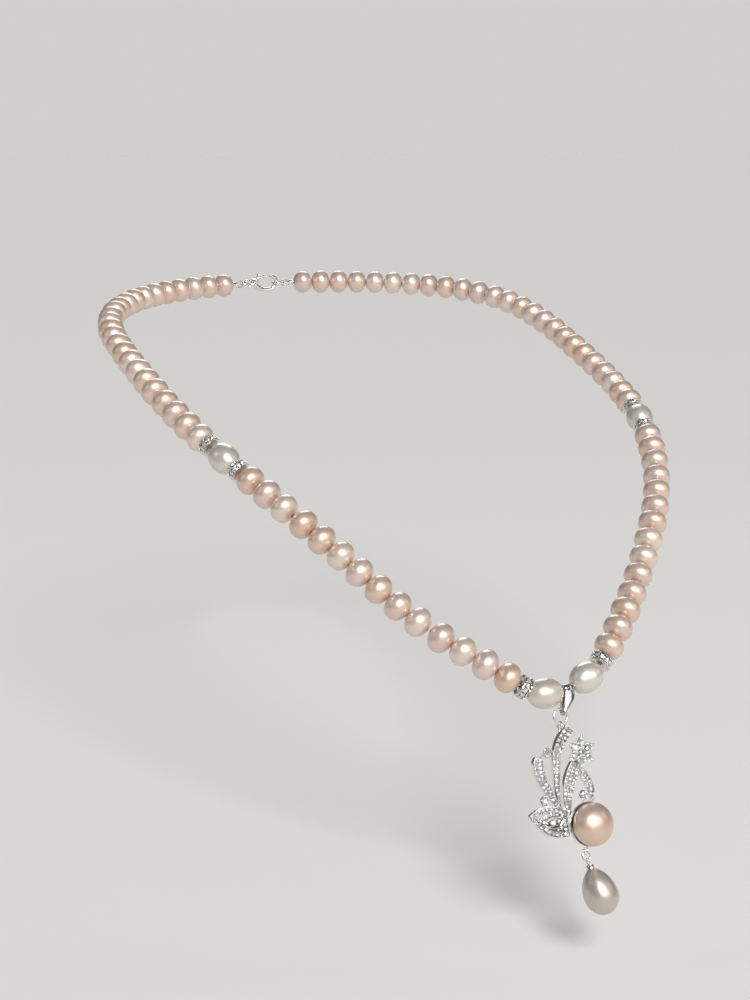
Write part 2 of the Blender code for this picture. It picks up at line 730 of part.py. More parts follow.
# The link ring, and the drop pearl with its cap and eye.
LINK_TOP = CUP_LOOP + Vector((0, -0.28, 0))
LINK_CENTRE = LINK_TOP + Vector((0, -LINK_MAJOR, 0))
link = torus(
    "drop_link", CHEST @ LINK_CENTRE, chest_way(0, 0, 1), LINK_MAJOR, LINK_MINOR,
    "bright silver", steps=12, origin=CHEST @ LINK_TOP,
)
LINK_LOW = LINK_CENTRE + Vector((0, -LINK_MAJOR, 0))
drop_turn = (
    CHEST.to_3x3() @ Matrix.Rotation(DROP_SIDE, 3, "Z") @ Matrix.Rotation(-DROP_LEAN, 3, "X")
)
drop_frame = Matrix.Translation(CHEST @ LINK_LOW) @ drop_turn.to_4x4()
drop_down = drop_frame @ Matrix.Rotation(math.radians(-90), 4, "X")
EYE_DROP = 0.14
eye = torus(
    "eye", drop_frame @ Vector((0, -EYE_DROP, 0)), drop_turn @ Vector((1, 0, 0)),
    EYE_MAJOR, EYE_MINOR, "bright silver", steps=12,
)
CAP_TOP = -(EYE_DROP + EYE_MAJOR + 0.05)
cap_profile = [
    (0, CAP_TOP), (0.35, CAP_TOP), (0.75, CAP_TOP - 0.3), (0.95, CAP_TOP - 0.95),
    (0.7, CAP_TOP - 0.95), (0.55, CAP_TOP - 0.6), (0.3, CAP_TOP - 0.6), (0.3, CAP_TOP - 3.5),
    (0, CAP_TOP - 3.5),
]
cap = joined("drop_cap", [
    eye, turned("cup_of_cap", cap_profile, 12, "bright silver", drop_down),
], "bright silver", origin=CHEST @ LINK_LOW)
DROP_TOP = CAP_TOP - 0.9
DROP_WIDEST = 0.57


def drop_swell(part):
    """The drop's radius over its greatest, this far down: narrower above, round below."""
    if part < DROP_WIDEST:
        return (1 - (1 - part / DROP_WIDEST) ** 2) ** 0.62
    return math.sqrt(1 - ((part - DROP_WIDEST) / (1 - DROP_WIDEST)) ** 2)


drop_profile = [(0, CAP_TOP - 3.8), (0.45, CAP_TOP - 3.8), (0.45, DROP_TOP)]
for part in (0.04, 0.11, 0.2, 0.31, 0.43, 0.57, 0.7, 0.82, 0.92, 0.98):
    drop_profile.append((DROP_RADIUS * drop_swell(part), DROP_TOP - DROP_LENGTH * part))
drop_profile.append((0, DROP_TOP - DROP_LENGTH))
drop = turned(
    "drop_pearl", drop_profile, 16, "champagne pearl", drop_down, CHEST @ LINK_LOW
)


# Pivots on the joints' axes, and what rides on each


def fold_middle(distance):
    return (on_strand(distance) + on_strand(-distance)) / 2


folds = {}
for name, distance in zip(("front", "side", "shoulder", "back"), FOLDS):
    folds[name] = add_pivot(f"fold_{name}", fold_middle(distance))
hang(folds["back"], *groups["back"], folds["shoulder"])
hang(folds["shoulder"], *groups["shoulder"], *beads["shoulder"], folds["side"])
hang(folds["side"], *groups["side"], folds["front"])
bail_pivot = add_pivot("bail_pivot", CHEST @ WIRE_AT_BAIL)
hang(folds["front"], *groups["front"], *beads["front"], bail_pivot)
ring_pivot = add_pivot("ring_pivot", jump_ring.location / MM)
hang(bail_pivot, bail, ring_pivot)
loop_pivot = add_pivot("loop_pivot", CHEST @ (RING_CENTRE + HANG_WAY * RING_MAJOR))
hang(ring_pivot, jump_ring, loop_pivot)
link_pivot = add_pivot("link_pivot", CHEST @ LINK_TOP)
hang(
    loop_pivot, central_ribbon, left_ribbon, stem_ribbon, right_ribbon, leaf, flower,
    *clusters, cup, button, link_pivot,
)
drop_pivot = add_pivot("drop_pivot", CHEST @ LINK_LOW)
hang(link_pivot, link, drop_pivot)
hang(drop_pivot, cap, drop)
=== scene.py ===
import math
import random

import bmesh
import bpy
import numpy as np
from mathutils import Matrix, Vector, noise


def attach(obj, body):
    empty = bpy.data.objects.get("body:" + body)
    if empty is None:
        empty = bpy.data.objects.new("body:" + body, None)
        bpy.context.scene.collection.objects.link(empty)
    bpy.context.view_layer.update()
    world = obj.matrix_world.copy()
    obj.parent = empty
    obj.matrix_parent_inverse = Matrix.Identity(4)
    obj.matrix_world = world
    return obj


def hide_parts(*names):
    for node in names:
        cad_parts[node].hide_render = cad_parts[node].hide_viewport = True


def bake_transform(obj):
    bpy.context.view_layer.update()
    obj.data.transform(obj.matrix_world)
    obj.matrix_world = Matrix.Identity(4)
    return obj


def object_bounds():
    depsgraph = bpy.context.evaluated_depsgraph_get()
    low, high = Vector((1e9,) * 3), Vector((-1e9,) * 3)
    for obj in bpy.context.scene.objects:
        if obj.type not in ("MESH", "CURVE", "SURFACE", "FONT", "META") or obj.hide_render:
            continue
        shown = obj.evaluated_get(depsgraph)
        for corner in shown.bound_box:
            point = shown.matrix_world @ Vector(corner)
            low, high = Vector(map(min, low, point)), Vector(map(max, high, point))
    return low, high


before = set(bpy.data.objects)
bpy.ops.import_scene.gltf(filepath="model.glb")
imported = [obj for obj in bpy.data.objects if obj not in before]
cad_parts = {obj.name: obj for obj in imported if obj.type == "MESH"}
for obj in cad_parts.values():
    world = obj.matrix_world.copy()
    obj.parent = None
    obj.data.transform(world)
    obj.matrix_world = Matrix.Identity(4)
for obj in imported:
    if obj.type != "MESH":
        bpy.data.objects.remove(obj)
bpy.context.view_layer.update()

mm = 0.001
scene = bpy.context.scene


# making meshes

def fullTurn(count):  # evenly spaced angles all the way round
    return [2 * math.pi * step / count for step in range(count)]


def spoke(angle):
    return Vector((math.cos(angle), math.sin(angle), 0))


def circleOf(place, radius, height, steps):  # a circle about the place's Z
    return [place @ Vector((radius * math.cos(a), radius * math.sin(a), height)) for a in fullTurn(steps)]


class Mould:  # gathers points and faces in millimetres, then makes one piece of them
    def __init__(self):
        self.points = []
        self.faces = []
        # depths mark hollow points; the metal finish paints shade there
        self.depths = []
        # paintedGlints: a painted brightness for each face, used by the stone finish
        self.paintedGlints = []

    def add(self, points, faces, depths=None, paintedGlints=None):  # depths: 1 at the points of a hollow, else 0
        first = len(self.points)
        self.points += [Vector(p) for p in points]
        self.depths += depths or [0.0] * len(points)
        self.paintedGlints += paintedGlints or [0.0] * len(faces)
        self.faces += [tuple(first + i for i in face) for face in faces]

    def loft(self, rings, closed=False, caps=True, depths=None):  # depths: one for each point of a ring
        count = len(rings[0])
        faces = []
        last = len(rings) if closed else len(rings) - 1
        for k in range(last):
            low, high = k * count, (k + 1) % len(rings) * count
            for i in range(count):
                j = (i + 1) % count
                faces.append((low + i, low + j, high + j, high + i))
        if caps and not closed:
            faces.append(tuple(range(count)))
            faces.append(tuple(range((len(rings) - 1) * count, len(rings) * count)))
        self.add([p for ring in rings for p in ring], faces, depths and depths * len(rings))

    def turn(self, profile, steps, place, closed=False):  # profile of (radius, height)
        self.loft([circleOf(place, radius, height, steps) for radius, height in profile], closed)

    def ring(self, place, major, minor, steps=48, sides=12, gap=0.0):  # wire ring in the place's XY
        rings = []
        span = 2 * math.pi - gap
        count = steps + 1 if gap else steps
        for step in range(count):
            turn = gap / 2 + span * step / steps
            arm = spoke(turn)
            rings.append([
                place @ (arm * (major + minor * math.cos(a)) + Vector((0, 0, minor * math.sin(a))))
                for a in fullTurn(sides)
            ])
        self.loft(rings, closed=not gap)

    def tube(self, line, radii, sides=12, flat=1.0, normal=(0, 0, 1), closed=False):
        line = [Vector(p) for p in line]
        count = len(line)
        rings = []
        for i, point in enumerate(line):
            if closed:
                ahead = line[(i + 1) % count] - line[i - 1]
            else:
                ahead = line[min(i + 1, count - 1)] - line[max(i - 1, 0)]
            ahead.normalize()
            rise = Vector(normal)
            rise = (rise - ahead * rise.dot(ahead)).normalized()
            side = rise.cross(ahead)
            radius = radii[i] if hasattr(radii, "__len__") else radii
            rings.append([
                point + (side * math.cos(a) + rise * flat * math.sin(a)) * radius
                for a in fullTurn(sides)
            ])
        self.loft(rings, closed)

    def bead(self, centre, radius, squash=1.0, up=(0, 0, 1)):  # a raised grain of metal that holds a stone
        up = Vector(up).normalized()
        side = up.orthogonal().normalized()
        rise = up.cross(side)
        rings = []
        for level in (-60, -25, 10, 45, 75):
            a = math.radians(level)
            middle = Vector(centre) + up * (radius * squash * math.sin(a))
            reach = radius * math.cos(a)
            rings.append([
                middle + (side * math.cos(t) + rise * math.sin(t)) * reach
                for t in fullTurn(8)
            ])
        self.loft(rings)

    def stone(self, centre, radius, up, turn=0.0):  # a round brilliant, table up, set a little crooked
        draw = random.Random(len(self.points) + round(radius * 1000))
        up = Vector(up).normalized()
        side = up.orthogonal().normalized()
        up = (up + side * draw.uniform(-0.16, 0.16) + up.cross(side) * draw.uniform(-0.16, 0.16)).normalized()
        side = up.orthogonal().normalized()
        rise = up.cross(side)

        def circle(reach, height, shift):
            return [
                Vector(centre) + up * (height * radius)
                + (side * math.cos(t) + rise * math.sin(t)) * (reach * radius)
                for t in [turn + 2 * math.pi * (s + shift) / 8 for s in range(8)]
            ]

        table = circle(0.5, 0.36, 0.0)
        crown = circle(0.8, 0.22, 0.5)
        girdle = circle(1.0, 0.02, 0.0)
        under = circle(1.0, -0.04, 0.0)
        culet = [Vector(centre) - up * (0.8 * radius)]
        faces = [tuple(range(8))]
        for i in range(8):
            j = (i + 1) % 8
            faces.append((i, j, 8 + i))
            faces.append((8 + i, j, 16 + j))
            faces.append((8 + i, 16 + j, 16 + i))
            faces.append((8 + i, 16 + i, i))
            faces.append((16 + i, 16 + j, 24 + j, 24 + i))
            faces.append((24 + i, 24 + j, 32))
        # painted glint: a random brightness for each facet, from near black to white, standing in for sparkle
        paintedGlints = [draw.uniform(0.05, 1.0) for _ in faces]
        self.add(table + crown + girdle + under + culet, faces, paintedGlints=paintedGlints)

    # makes the piece: it rides on the body, if there is one, and stands for the named CAD nodes
    def piece(self, name, body, nodes, slot, material, smooth=40, place=None, tone=None):
        back = place.inverted() if place else Matrix.Identity(4)
        mesh = bpy.data.meshes.new(name)
        mesh.from_pydata([(back @ p) * mm for p in self.points], [], self.faces)
        # keeps the painted glints as a face attribute for the stone finish
        if any(self.paintedGlints):
            layer = mesh.attributes.new("painted_glint", "FLOAT", "FACE")
            layer.data.foreach_set("value", self.paintedGlints)
        work = bmesh.new()
        work.from_mesh(mesh)
        bmesh.ops.recalc_face_normals(work, faces=work.faces)
        work.to_mesh(mesh)
        work.free()
        if smooth:
            mesh.shade_smooth()
            mesh.set_sharp_from_angle(angle=math.radians(smooth))
        else:
            mesh.shade_flat()
        if any(self.depths):
            layer = mesh.attributes.new("hollow", "FLOAT", "POINT")
            layer.data.foreach_set("value", self.depths)
        if tone is not None:
            layer = mesh.attributes.new("pearlTone", "FLOAT", "POINT")
            layer.data.foreach_set("value", [tone] * len(mesh.vertices))
        mesh.materials.append(material)
        made = bpy.data.objects.new(name, mesh)
        scene.collection.objects.link(made)
        if place:
            lie = place.copy()
            lie.translation = place.translation * mm
            made.matrix_world = lie
        if body:
            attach(made, body)
        if nodes:
            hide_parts(*nodes)
        return made


def eased(points, count, closed=False):  # evenly numbered points on a smooth line through the given ones
    knots = np.array(points, float)
    if closed:
        padded = np.vstack([knots[-1], knots, knots[0], knots[1]])
        spans = len(knots)
        steps = np.arange(count) / count * spans
    else:
        padded = np.vstack([2 * knots[0] - knots[1], knots, 2 * knots[-1] - knots[-2]])
        spans = len(knots) - 1
        steps = np.linspace(0, spans, count)
    line = []
    for t in steps:
        i = min(int(t), spans - 1)
        u = t - i
        a, b, c, d = padded[i:i + 4]
        line.append(0.5 * (2 * b + (c - a) * u + (2 * a - 5 * b + 4 * c - d) * u**2
                           + (3 * b - a - 3 * c + d) * u**3))
    return line


def placing(centre, across, up):  # a frame from a centre and two directions
    x = Vector(across).normalized()
    z = x.cross(Vector(up)).normalized()
    y = z.cross(x)
    return Matrix.Translation(centre) @ Matrix((x, y, z)).transposed().to_4x4()


# finishes

def startMaterial(name):
    material = bpy.data.materials.new(name)
    material.use_nodes = True
    tree = material.node_tree
    return material, tree, tree.nodes["Principled BSDF"]


def addNode(tree, kind, **values):
    node = tree.nodes.new(kind)
    for key, value in values.items():
        if hasattr(node, key):
            setattr(node, key, value)
        else:
            node.inputs[key.replace("_", " ")].default_value = value
    return node


def setShader(shader, values):
    for key, value in values.items():
        shader.inputs[key].default_value = value


def spread(tree, source, low, high):  # stretches a pattern's 0 to 1 over a range
    node = tree.nodes.new("ShaderNodeMapRange")
    node.inputs["To Min"].default_value = low
    node.inputs["To Max"].default_value = high
    tree.links.new(source, node.inputs["Value"])
    return node.outputs["Result"]


def bumpOf(tree, source, strength, distance, under=None):
    node = tree.nodes.new("ShaderNodeBump")
    node.inputs["Strength"].default_value = strength
    node.inputs["Distance"].default_value = distance
    tree.links.new(source, node.inputs["Height"])
    if under:
        tree.links.new(under, node.inputs["Normal"])
    return node.outputs["Normal"]


def blendColours(tree, share, first, second, mode="MIX"):
    node = tree.nodes.new("ShaderNodeMix")
    node.data_type = "RGBA"
    node.blend_type = mode
    for value, socket in ((share, "Factor"), (first, "A"), (second, "B")):
        target = [s for s in node.inputs if s.name == socket and (socket == "Factor" or s.type == "RGBA")][0]
        if isinstance(value, (int, float, tuple)):
            target.default_value = value
        else:
            tree.links.new(value, target)
    return [s for s in node.outputs if s.type == "RGBA"][0]


def nacre(name, look):  # layered pearl: a tone for each pearl, clouded overtones, growth bands, soft gloss
    material, tree, shader = startMaterial(name)
    tone = addNode(tree, "ShaderNodeAttribute", attribute_name="pearlTone")
    ramp = tree.nodes.new("ShaderNodeValToRGB")
    shades = look["shades"]
    while len(ramp.color_ramp.elements) < len(shades):
        ramp.color_ramp.elements.new(0.5)
    for k, shade in enumerate(shades):
        ramp.color_ramp.elements[k].position = k / (len(shades) - 1)
        ramp.color_ramp.elements[k].color = (*shade, 1)
    tree.links.new(tone.outputs["Fac"], ramp.inputs["Fac"])
    place = tree.nodes.new("ShaderNodeTexCoord")
    shift = addNode(tree, "ShaderNodeVectorMath", operation="MULTIPLY_ADD")
    shift.inputs[1].default_value = (1000, 1000, 1000)
    tree.links.new(place.outputs["Object"], shift.inputs[0])
    offset = addNode(tree, "ShaderNodeMath", operation="MULTIPLY")
    offset.inputs[1].default_value = 41.0
    tree.links.new(tone.outputs["Fac"], offset.inputs[0])
    tree.links.new(offset.outputs[0], shift.inputs[2])
    where = shift.outputs[0]  # millimetres from the pearl's middle, moved on for each tone
    cloud = addNode(tree, "ShaderNodeTexNoise", Scale=look["cloudScale"], Detail=3.0, Roughness=0.55)
    tree.links.new(where, cloud.inputs["Vector"])
    overtone = addNode(tree, "ShaderNodeTexNoise", Scale=look["cloudScale"] * 0.6, Detail=1.0)
    overtone.inputs["Distortion"].default_value = 0.6
    tree.links.new(where, overtone.inputs["Vector"])
    bands = addNode(tree, "ShaderNodeTexWave", wave_type="BANDS", bands_direction="Z", Scale=0.55)
    bands.inputs["Distortion"].default_value = 5.0
    bands.inputs["Detail"].default_value = 2.0
    bands.inputs["Detail Scale"].default_value = 0.6
    tree.links.new(where, bands.inputs["Vector"])
    colour = blendColours(tree, spread(tree, cloud.outputs["Fac"], 0.0, look["cloudShare"]),
                          ramp.outputs["Color"], (*look["deep"], 1))
    colour = blendColours(tree, spread(tree, overtone.outputs["Fac"], -0.12, look["overtoneShare"]),
                          colour, (*look["overtone"], 1))
    colour = blendColours(tree, spread(tree, bands.outputs["Fac"], 0.0, 0.10), colour, (*look["deep"], 1))
    tree.links.new(colour, shader.inputs["Base Color"])
    tree.links.new(spread(tree, cloud.outputs["Fac"], *look["roughness"]), shader.inputs["Roughness"])
    grain = addNode(tree, "ShaderNodeTexNoise", Scale=5.0, Detail=4.0, Roughness=0.6)
    tree.links.new(where, grain.inputs["Vector"])
    low = bumpOf(tree, bands.outputs["Fac"], look["bandDepth"], 0.00004)
    tree.links.new(bumpOf(tree, grain.outputs["Fac"], 0.12, 0.00002, low), shader.inputs["Normal"])
    setShader(shader, look["gloss"])
    return material


pearlGloss = {
    "Metallic": 0.6, "Specular IOR Level": 0.8, "Coat Weight": 0.5, "Coat Roughness": 0.12, "Coat IOR": 1.55,
    "Sheen Weight": 0.08, "Sheen Roughness": 0.35, "Subsurface Weight": 0.1, "Subsurface Scale": 0.0012,
}
peachNacre = nacre("peach nacre", {
    "shades": (
        (0.76, 0.56, 0.42), (0.79, 0.64, 0.52), (0.77, 0.61, 0.55), (0.85, 0.75, 0.64), (0.75, 0.61, 0.58),
    ),
    "deep": (0.66, 0.43, 0.29), "overtone": (0.80, 0.67, 0.70), "cloudScale": 0.35, "cloudShare": 0.26,
    "overtoneShare": 0.34, "roughness": (0.33, 0.46), "bandDepth": 0.08,
    "gloss": {**pearlGloss, "Sheen Tint": (1.0, 0.84, 0.80, 1)},
})
whiteNacre = nacre("white nacre", {
    "shades": ((0.70, 0.66, 0.56), (0.76, 0.73, 0.68)),
    "deep": (0.60, 0.53, 0.42), "overtone": (0.76, 0.72, 0.74), "cloudScale": 0.3, "cloudShare": 0.3,
    "overtoneShare": 0.3, "roughness": (0.32, 0.44), "bandDepth": 0.03,
    "gloss": {**pearlGloss, "Sheen Tint": (1.0, 0.96, 0.86, 1)},
})
buttonNacre = nacre("button pearl nacre", {
    "shades": ((0.72, 0.54, 0.41), (0.78, 0.61, 0.49)),
    "deep": (0.64, 0.40, 0.25), "overtone": (0.78, 0.67, 0.72), "cloudScale": 0.22, "cloudShare": 0.4,
    "overtoneShare": 0.4, "roughness": (0.36, 0.48), "bandDepth": 0.02,
    "gloss": {**pearlGloss, "Metallic": 0.7, "Sheen Tint": (1.0, 0.84, 0.80, 1)},
})
champagneNacre = nacre("champagne nacre", {
    "shades": ((0.56, 0.50, 0.44), (0.62, 0.565, 0.50)),
    "deep": (0.44, 0.37, 0.30), "overtone": (0.64, 0.58, 0.65), "cloudScale": 0.3, "cloudShare": 0.3,
    "overtoneShare": 0.4, "roughness": (0.34, 0.46), "bandDepth": 0.04,
    "gloss": {**pearlGloss, "Metallic": 0.7, "Sheen Tint": (1.0, 0.92, 0.84, 1)},
})


def metal(name, look):  # plated metal with polishing marks, thin spots and painted shade in its hollows
    material, tree, shader = startMaterial(name)
    place = tree.nodes.new("ShaderNodeTexCoord")
    smear = addNode(tree, "ShaderNodeTexNoise", Scale=look["smearScale"], Detail=3.0, Roughness=0.6)
    tree.links.new(place.outputs["Object"], smear.inputs["Vector"])
    fine = addNode(tree, "ShaderNodeTexNoise", Scale=look["markScale"], Detail=5.0, Roughness=0.7)
    tree.links.new(place.outputs["Object"], fine.inputs["Vector"])
    colour = blendColours(tree, spread(tree, smear.outputs["Fac"], 0.0, look["dullShare"]),
                          (*look["colour"], 1), (*look["dull"], 1))
    # painted shade: points marked hollow darken towards the hollowShade colour
    hollow = addNode(tree, "ShaderNodeAttribute", attribute_name="hollow")
    colour = blendColours(tree, spread(tree, hollow.outputs["Fac"], 0.0, 0.85), colour, (*look["hollowShade"], 1))
    tree.links.new(colour, shader.inputs["Base Color"])
    tree.links.new(spread(tree, smear.outputs["Fac"], *look["roughness"]), shader.inputs["Roughness"])
    tree.links.new(bumpOf(tree, fine.outputs["Fac"], look["markDepth"], 0.00002), shader.inputs["Normal"])
    setShader(shader, {"Metallic": 1.0})
    return material


brightSilver = metal("bright silver", {
    "colour": (0.92, 0.905, 0.88), "dull": (0.66, 0.63, 0.59), "dullShare": 0.3, "roughness": (0.08, 0.22),
    "hollowShade": (0.30, 0.29, 0.28),
    "smearScale": 420.0, "markScale": 6500.0, "markDepth": 0.12,
})
# the bail's own darker copy of the bright silver: painted shade that dims the bright softbox reflection on
# its broad face
shadedBailSilver = metal("bail silver painted dark", {
    "colour": (0.60, 0.59, 0.575), "dull": (0.42, 0.41, 0.40), "dullShare": 0.4, "roughness": (0.10, 0.22),
    "hollowShade": (0.30, 0.29, 0.28),
    "smearScale": 420.0, "markScale": 6500.0, "markDepth": 0.12,
})
wireSteel = metal("stringing wire", {
    "colour": (0.62, 0.61, 0.59), "dull": (0.36, 0.35, 0.33), "dullShare": 0.5, "roughness": (0.24, 0.42),
    "hollowShade": (0.2, 0.2, 0.2),
    "smearScale": 900.0, "markScale": 9000.0, "markDepth": 0.3,
})


def crystal(name, look):  # cut stone: each facet gets a painted glint, a random brightness from dark to white
    material, tree, shader = startMaterial(name)
    facet = addNode(tree, "ShaderNodeAttribute", attribute_name="painted_glint")
    ramp = tree.nodes.new("ShaderNodeValToRGB")
    for k, (position, shade) in enumerate(look["shades"]):
        if k > 1:
            ramp.color_ramp.elements.new(position)
        ramp.color_ramp.elements[k].position = position
        ramp.color_ramp.elements[k].color = (*shade, 1)
    tree.links.new(facet.outputs["Fac"], ramp.inputs["Fac"])
    place = tree.nodes.new("ShaderNodeTexCoord")
    patch = addNode(tree, "ShaderNodeTexNoise", Scale=look["patchScale"], Detail=1.0)
    tree.links.new(place.outputs["Object"], patch.inputs["Vector"])
    colour = blendColours(tree, spread(tree, patch.outputs["Fac"], 0.0, 0.2),
                          ramp.outputs["Color"], (*look["shade"], 1))
    tree.links.new(colour, shader.inputs["Base Color"])
    tree.links.new(spread(tree, patch.outputs["Fac"], 0.01, 0.07), shader.inputs["Roughness"])
    setShader(shader, {"IOR": 2.3, "Transmission Weight": look["clear"], "Specular IOR Level": 0.9,
                       "Metallic": look["fire"]})
    return material


# shades: the painted glint ramp, from dark facets to white ones
clearStone = crystal("clear stone", {
    "shades": ((0.0, (0.22, 0.23, 0.26)), (0.45, (0.72, 0.74, 0.78)), (1.0, (1.0, 1.0, 1.0))),
    "shade": (0.80, 0.84, 0.92), "patchScale": 900.0, "clear": 0.25, "fire": 0.35,
})


def silverPiece(mould, name, body, node, smooth=40, place=None):
    mould.piece(name, body, [node], "bright_silver", brightSilver, smooth, place)


def stonePiece(mould, name, body, node, place=None):
    mould.piece(name, body, [node], None, clearStone, 0, place)


print("finishes made")


# the strand's line, in millimetres, from the bail up the right side, round the nape and down the left
strand = {
    "points": (
        (0, -100, -75), (5.5, -100, -73.7), (12, -98, -69), (27.5, -86.5, -57.5),
        (38, -77, -48), (47, -66, -40), (54, -52.5, -32.5), (61, -30.5, -24.5),
        (63.5, 1, -13.5), (60, 32.5, -4), (32, 65, 0), (0, 73.5, 0.5), (-32, 65, 0),
        (-60, 32.5, -4), (-64, 0.5, -12), (-60.5, -31, -23.5), (-53, -52, -33.5),
        (-46, -65, -41.5), (-37.5, -76, -51), (-28, -85.5, -61), (-13, -98, -72),
        (-5.5, -100, -75.8),
    ),
    "pitch": 5.6, "tip": 2.872, "beadGap": 0.15, "foldGap": 0.3, "bailSpace": 1.15,
    "ovalHalf": 4.25, "rondelleHalf": 1.06,
    "order": (
        ("oval_front", 0), ("rondelle_front", 0), ("front", 4), ("fold", 0), ("side", 7),
        ("fold", 0), ("shoulder_lower", 3), ("rondelle_shoulder_lower", 0),
        ("oval_shoulder", 0), ("rondelle_shoulder_upper", 0), ("shoulder_upper", 4),
        ("fold", 0), ("back_lower", 5), ("back_upper", 5), ("fold", 0),
        ("nape_lower", 5), ("nape_upper", 6),
    ),
}


def closedSpline(points, perSpan=60):
    knots = np.array(points, float)
    count = len(knots)
    after = np.roll(knots, -1, axis=0)
    span = np.linalg.norm(after - knots, axis=1)
    system = np.zeros((count, count))
    slopes = (after - knots) / span[:, None]
    for i in range(count):
        system[i, i - 1] += span[i - 1]
        system[i, i] += 2 * (span[i - 1] + span[i])
        system[i, (i + 1) % count] += span[i]
    bends = np.linalg.solve(system, 6 * (slopes - np.roll(slopes, 1, axis=0)))
    line = []
    for i in range(count):
        j = (i + 1) % count
        for part in np.arange(perSpan) / perSpan:
            rest = 1 - part
            bend = (rest**3 - rest) * bends[i] + (part**3 - part) * bends[j]
            line.append(rest * knots[i] + part * knots[j] + span[i] ** 2 / 6 * bend)
    line.append(line[0])
    return np.array(line)


strandLine = closedSpline(strand["points"])
strandRun = np.concatenate([[0], np.cumsum(np.linalg.norm(np.diff(strandLine, axis=0), axis=1))])
strandLength = float(strandRun[-1])


def onStrand(distance):
    distance %= strandLength
    return Vector([float(np.interp(distance, strandRun, strandLine[:, k])) for k in range(3)])


def alongStrand(distance):
    return (onStrand(distance + 0.5) - onStrand(distance - 0.5)).normalized()


def beadPlace(distance):  # frame at a bead's middle, its Z along the wire
    along = alongStrand(distance)
    side = along.cross(Vector((0, 0, 1))).normalized()
    return placing(onStrand(distance), side, along.cross(side))


def strandLayout():
    runs, singles, folds = [], [], []
    at = strand["bailSpace"]
    short = strand["tip"] - strand["pitch"] / 2
    for name, count in strand["order"]:
        if name == "fold":
            at += short - strand["beadGap"]
            folds.append(at + strand["foldGap"] / 2)
            at += strand["foldGap"] + short
        elif count:
            runs.append((name, at, count))
            at += count * strand["pitch"] + strand["beadGap"]
        else:
            half = strand["ovalHalf"] if name.startswith("oval") else strand["rondelleHalf"]
            singles.append((name, at + half))
            at += 2 * half + strand["beadGap"]
    return runs, singles, folds, at


runs, singles, folds, crimpStart = strandLayout()
sides = (("left", -1), ("right", 1))
bodyOfRun = {"front": "front_strand", "side": "side_strand", "shoulder": "shoulder_strand",
             "back": "back_strand", "nape": "nape_strand"}


def bodyOf(name):
    return bodyOfRun[next(key for key in bodyOfRun if key in name)]


# pearls

def pearlBody(mould, place, look, seed):  # a drilled pearl: squashed round, with soft dents and growth lines
    draw = random.Random(seed)
    radius = look["radius"] * (1 + draw.uniform(-1, 1) * look["sizeSpread"])
    half = look["half"]
    oval = 1 + draw.uniform(-1, 1) * look["ovality"]
    turn = draw.uniform(0, math.pi)
    drift = Vector([draw.uniform(-50, 50) for _ in range(3)])
    lines = [(draw.uniform(-0.7, 0.7), draw.uniform(0.04, 0.1), draw.choice((-1, 1))) for _ in range(3)]
    start = math.asin((look["bore"] + look["mouth"]) / radius)
    rings = []
    for k in range(look["along"] + 1):
        t = start + (math.pi - 2 * start) * k / look["along"]
        level = math.copysign(abs(math.cos(t)) ** look["bluntness"], math.cos(t))
        reach = radius * math.sin(t)
        ring = []
        for a in fullTurn(look["around"]):
            point = Vector((reach * math.cos(a), reach * math.sin(a), half * level))
            way = point.normalized()
            lift = look["dent"] * noise.noise(way * 1.3 + drift)
            lift += look["pit"] * min(0.0, noise.noise(way * 4.5 - drift) + 0.35)
            for height, width, sign in lines:
                lift += sign * look["line"] * math.exp(-(((level - height) / width) ** 2))
            point += way * lift
            x = point.x * math.cos(turn) + point.y * math.sin(turn)
            y = point.y * math.cos(turn) - point.x * math.sin(turn)
            ring.append(place @ Vector((x * oval, y / oval, point.z)))
        rings.append(ring)
    depth = half * math.cos(start) ** look["bluntness"] - look["mouth"] * 0.8
    for height in (-depth, depth):
        rings.append(circleOf(place, look["bore"], height, look["around"]))
    mould.loft(rings, closed=True)


peachPearl = {
    "radius": 3.36, "half": 2.8, "bore": 0.42, "mouth": 0.16, "around": 40, "along": 26, "dent": 0.07,
    "pit": 0.05, "line": 0.018, "ovality": 0.012, "sizeSpread": 0.018, "bluntness": 0.94, "seed": 310,
}
pearlCount = 0
for label, sign in sides:
    draw = random.Random(peachPearl["seed"] + sign)
    number = 0
    for name, start, count in runs:
        for k in range(count):
            number += 1
            pearlCount += 1
            middle = sign * (start + (k + 0.5) * strand["pitch"])
            place = beadPlace(middle) @ Matrix.Rotation(draw.uniform(0, 6.28), 4, "Z")
            mould = Mould()
            pearlBody(mould, place, peachPearl, peachPearl["seed"] + 1000 * sign + number)
            mould.piece(f"peach_pearl_{label}_{number:02d}", bodyOf(name), [f"pearls_{name}_{label}"],
                        "peach_pearl", peachNacre, place=place, tone=draw.random())
print("peach pearls strung:", pearlCount)

ovalPearl = {
    "radius": 3.38, "half": 4.2, "bore": 0.42, "mouth": 0.16, "around": 48, "along": 36, "dent": 0.1,
    "pit": 0.03, "line": 0.015, "ovality": 0.015, "sizeSpread": 0.01, "bluntness": 0.93, "seed": 77,
}
for label, sign in sides:
    for name, distance in singles:
        if name.startswith("oval"):
            place = beadPlace(sign * distance)
            mould = Mould()
            pearlBody(mould, place, ovalPearl, ovalPearl["seed"] + sign * 5 + len(name))
            tone = 0.35 if sign < 0 else 0.75
            mould.piece(f"white_{name}_{label}", f"{name}_{label}", [f"{name}_{label}"], "white_pearl",
                        whiteNacre, place=place, tone=tone)
print("oval pearls strung")


# rondelles: two waved rims with stones held between them

rondelle = {
    "radius": 2.68, "half": 1.04, "rimWidth": 0.34, "waist": 1.95, "bore": 0.45, "wave": 0.11, "steps": 96,
    "stones": 12, "stoneRadius": 0.56, "stoneDepth": 1.32, "grain": 0.13,
}


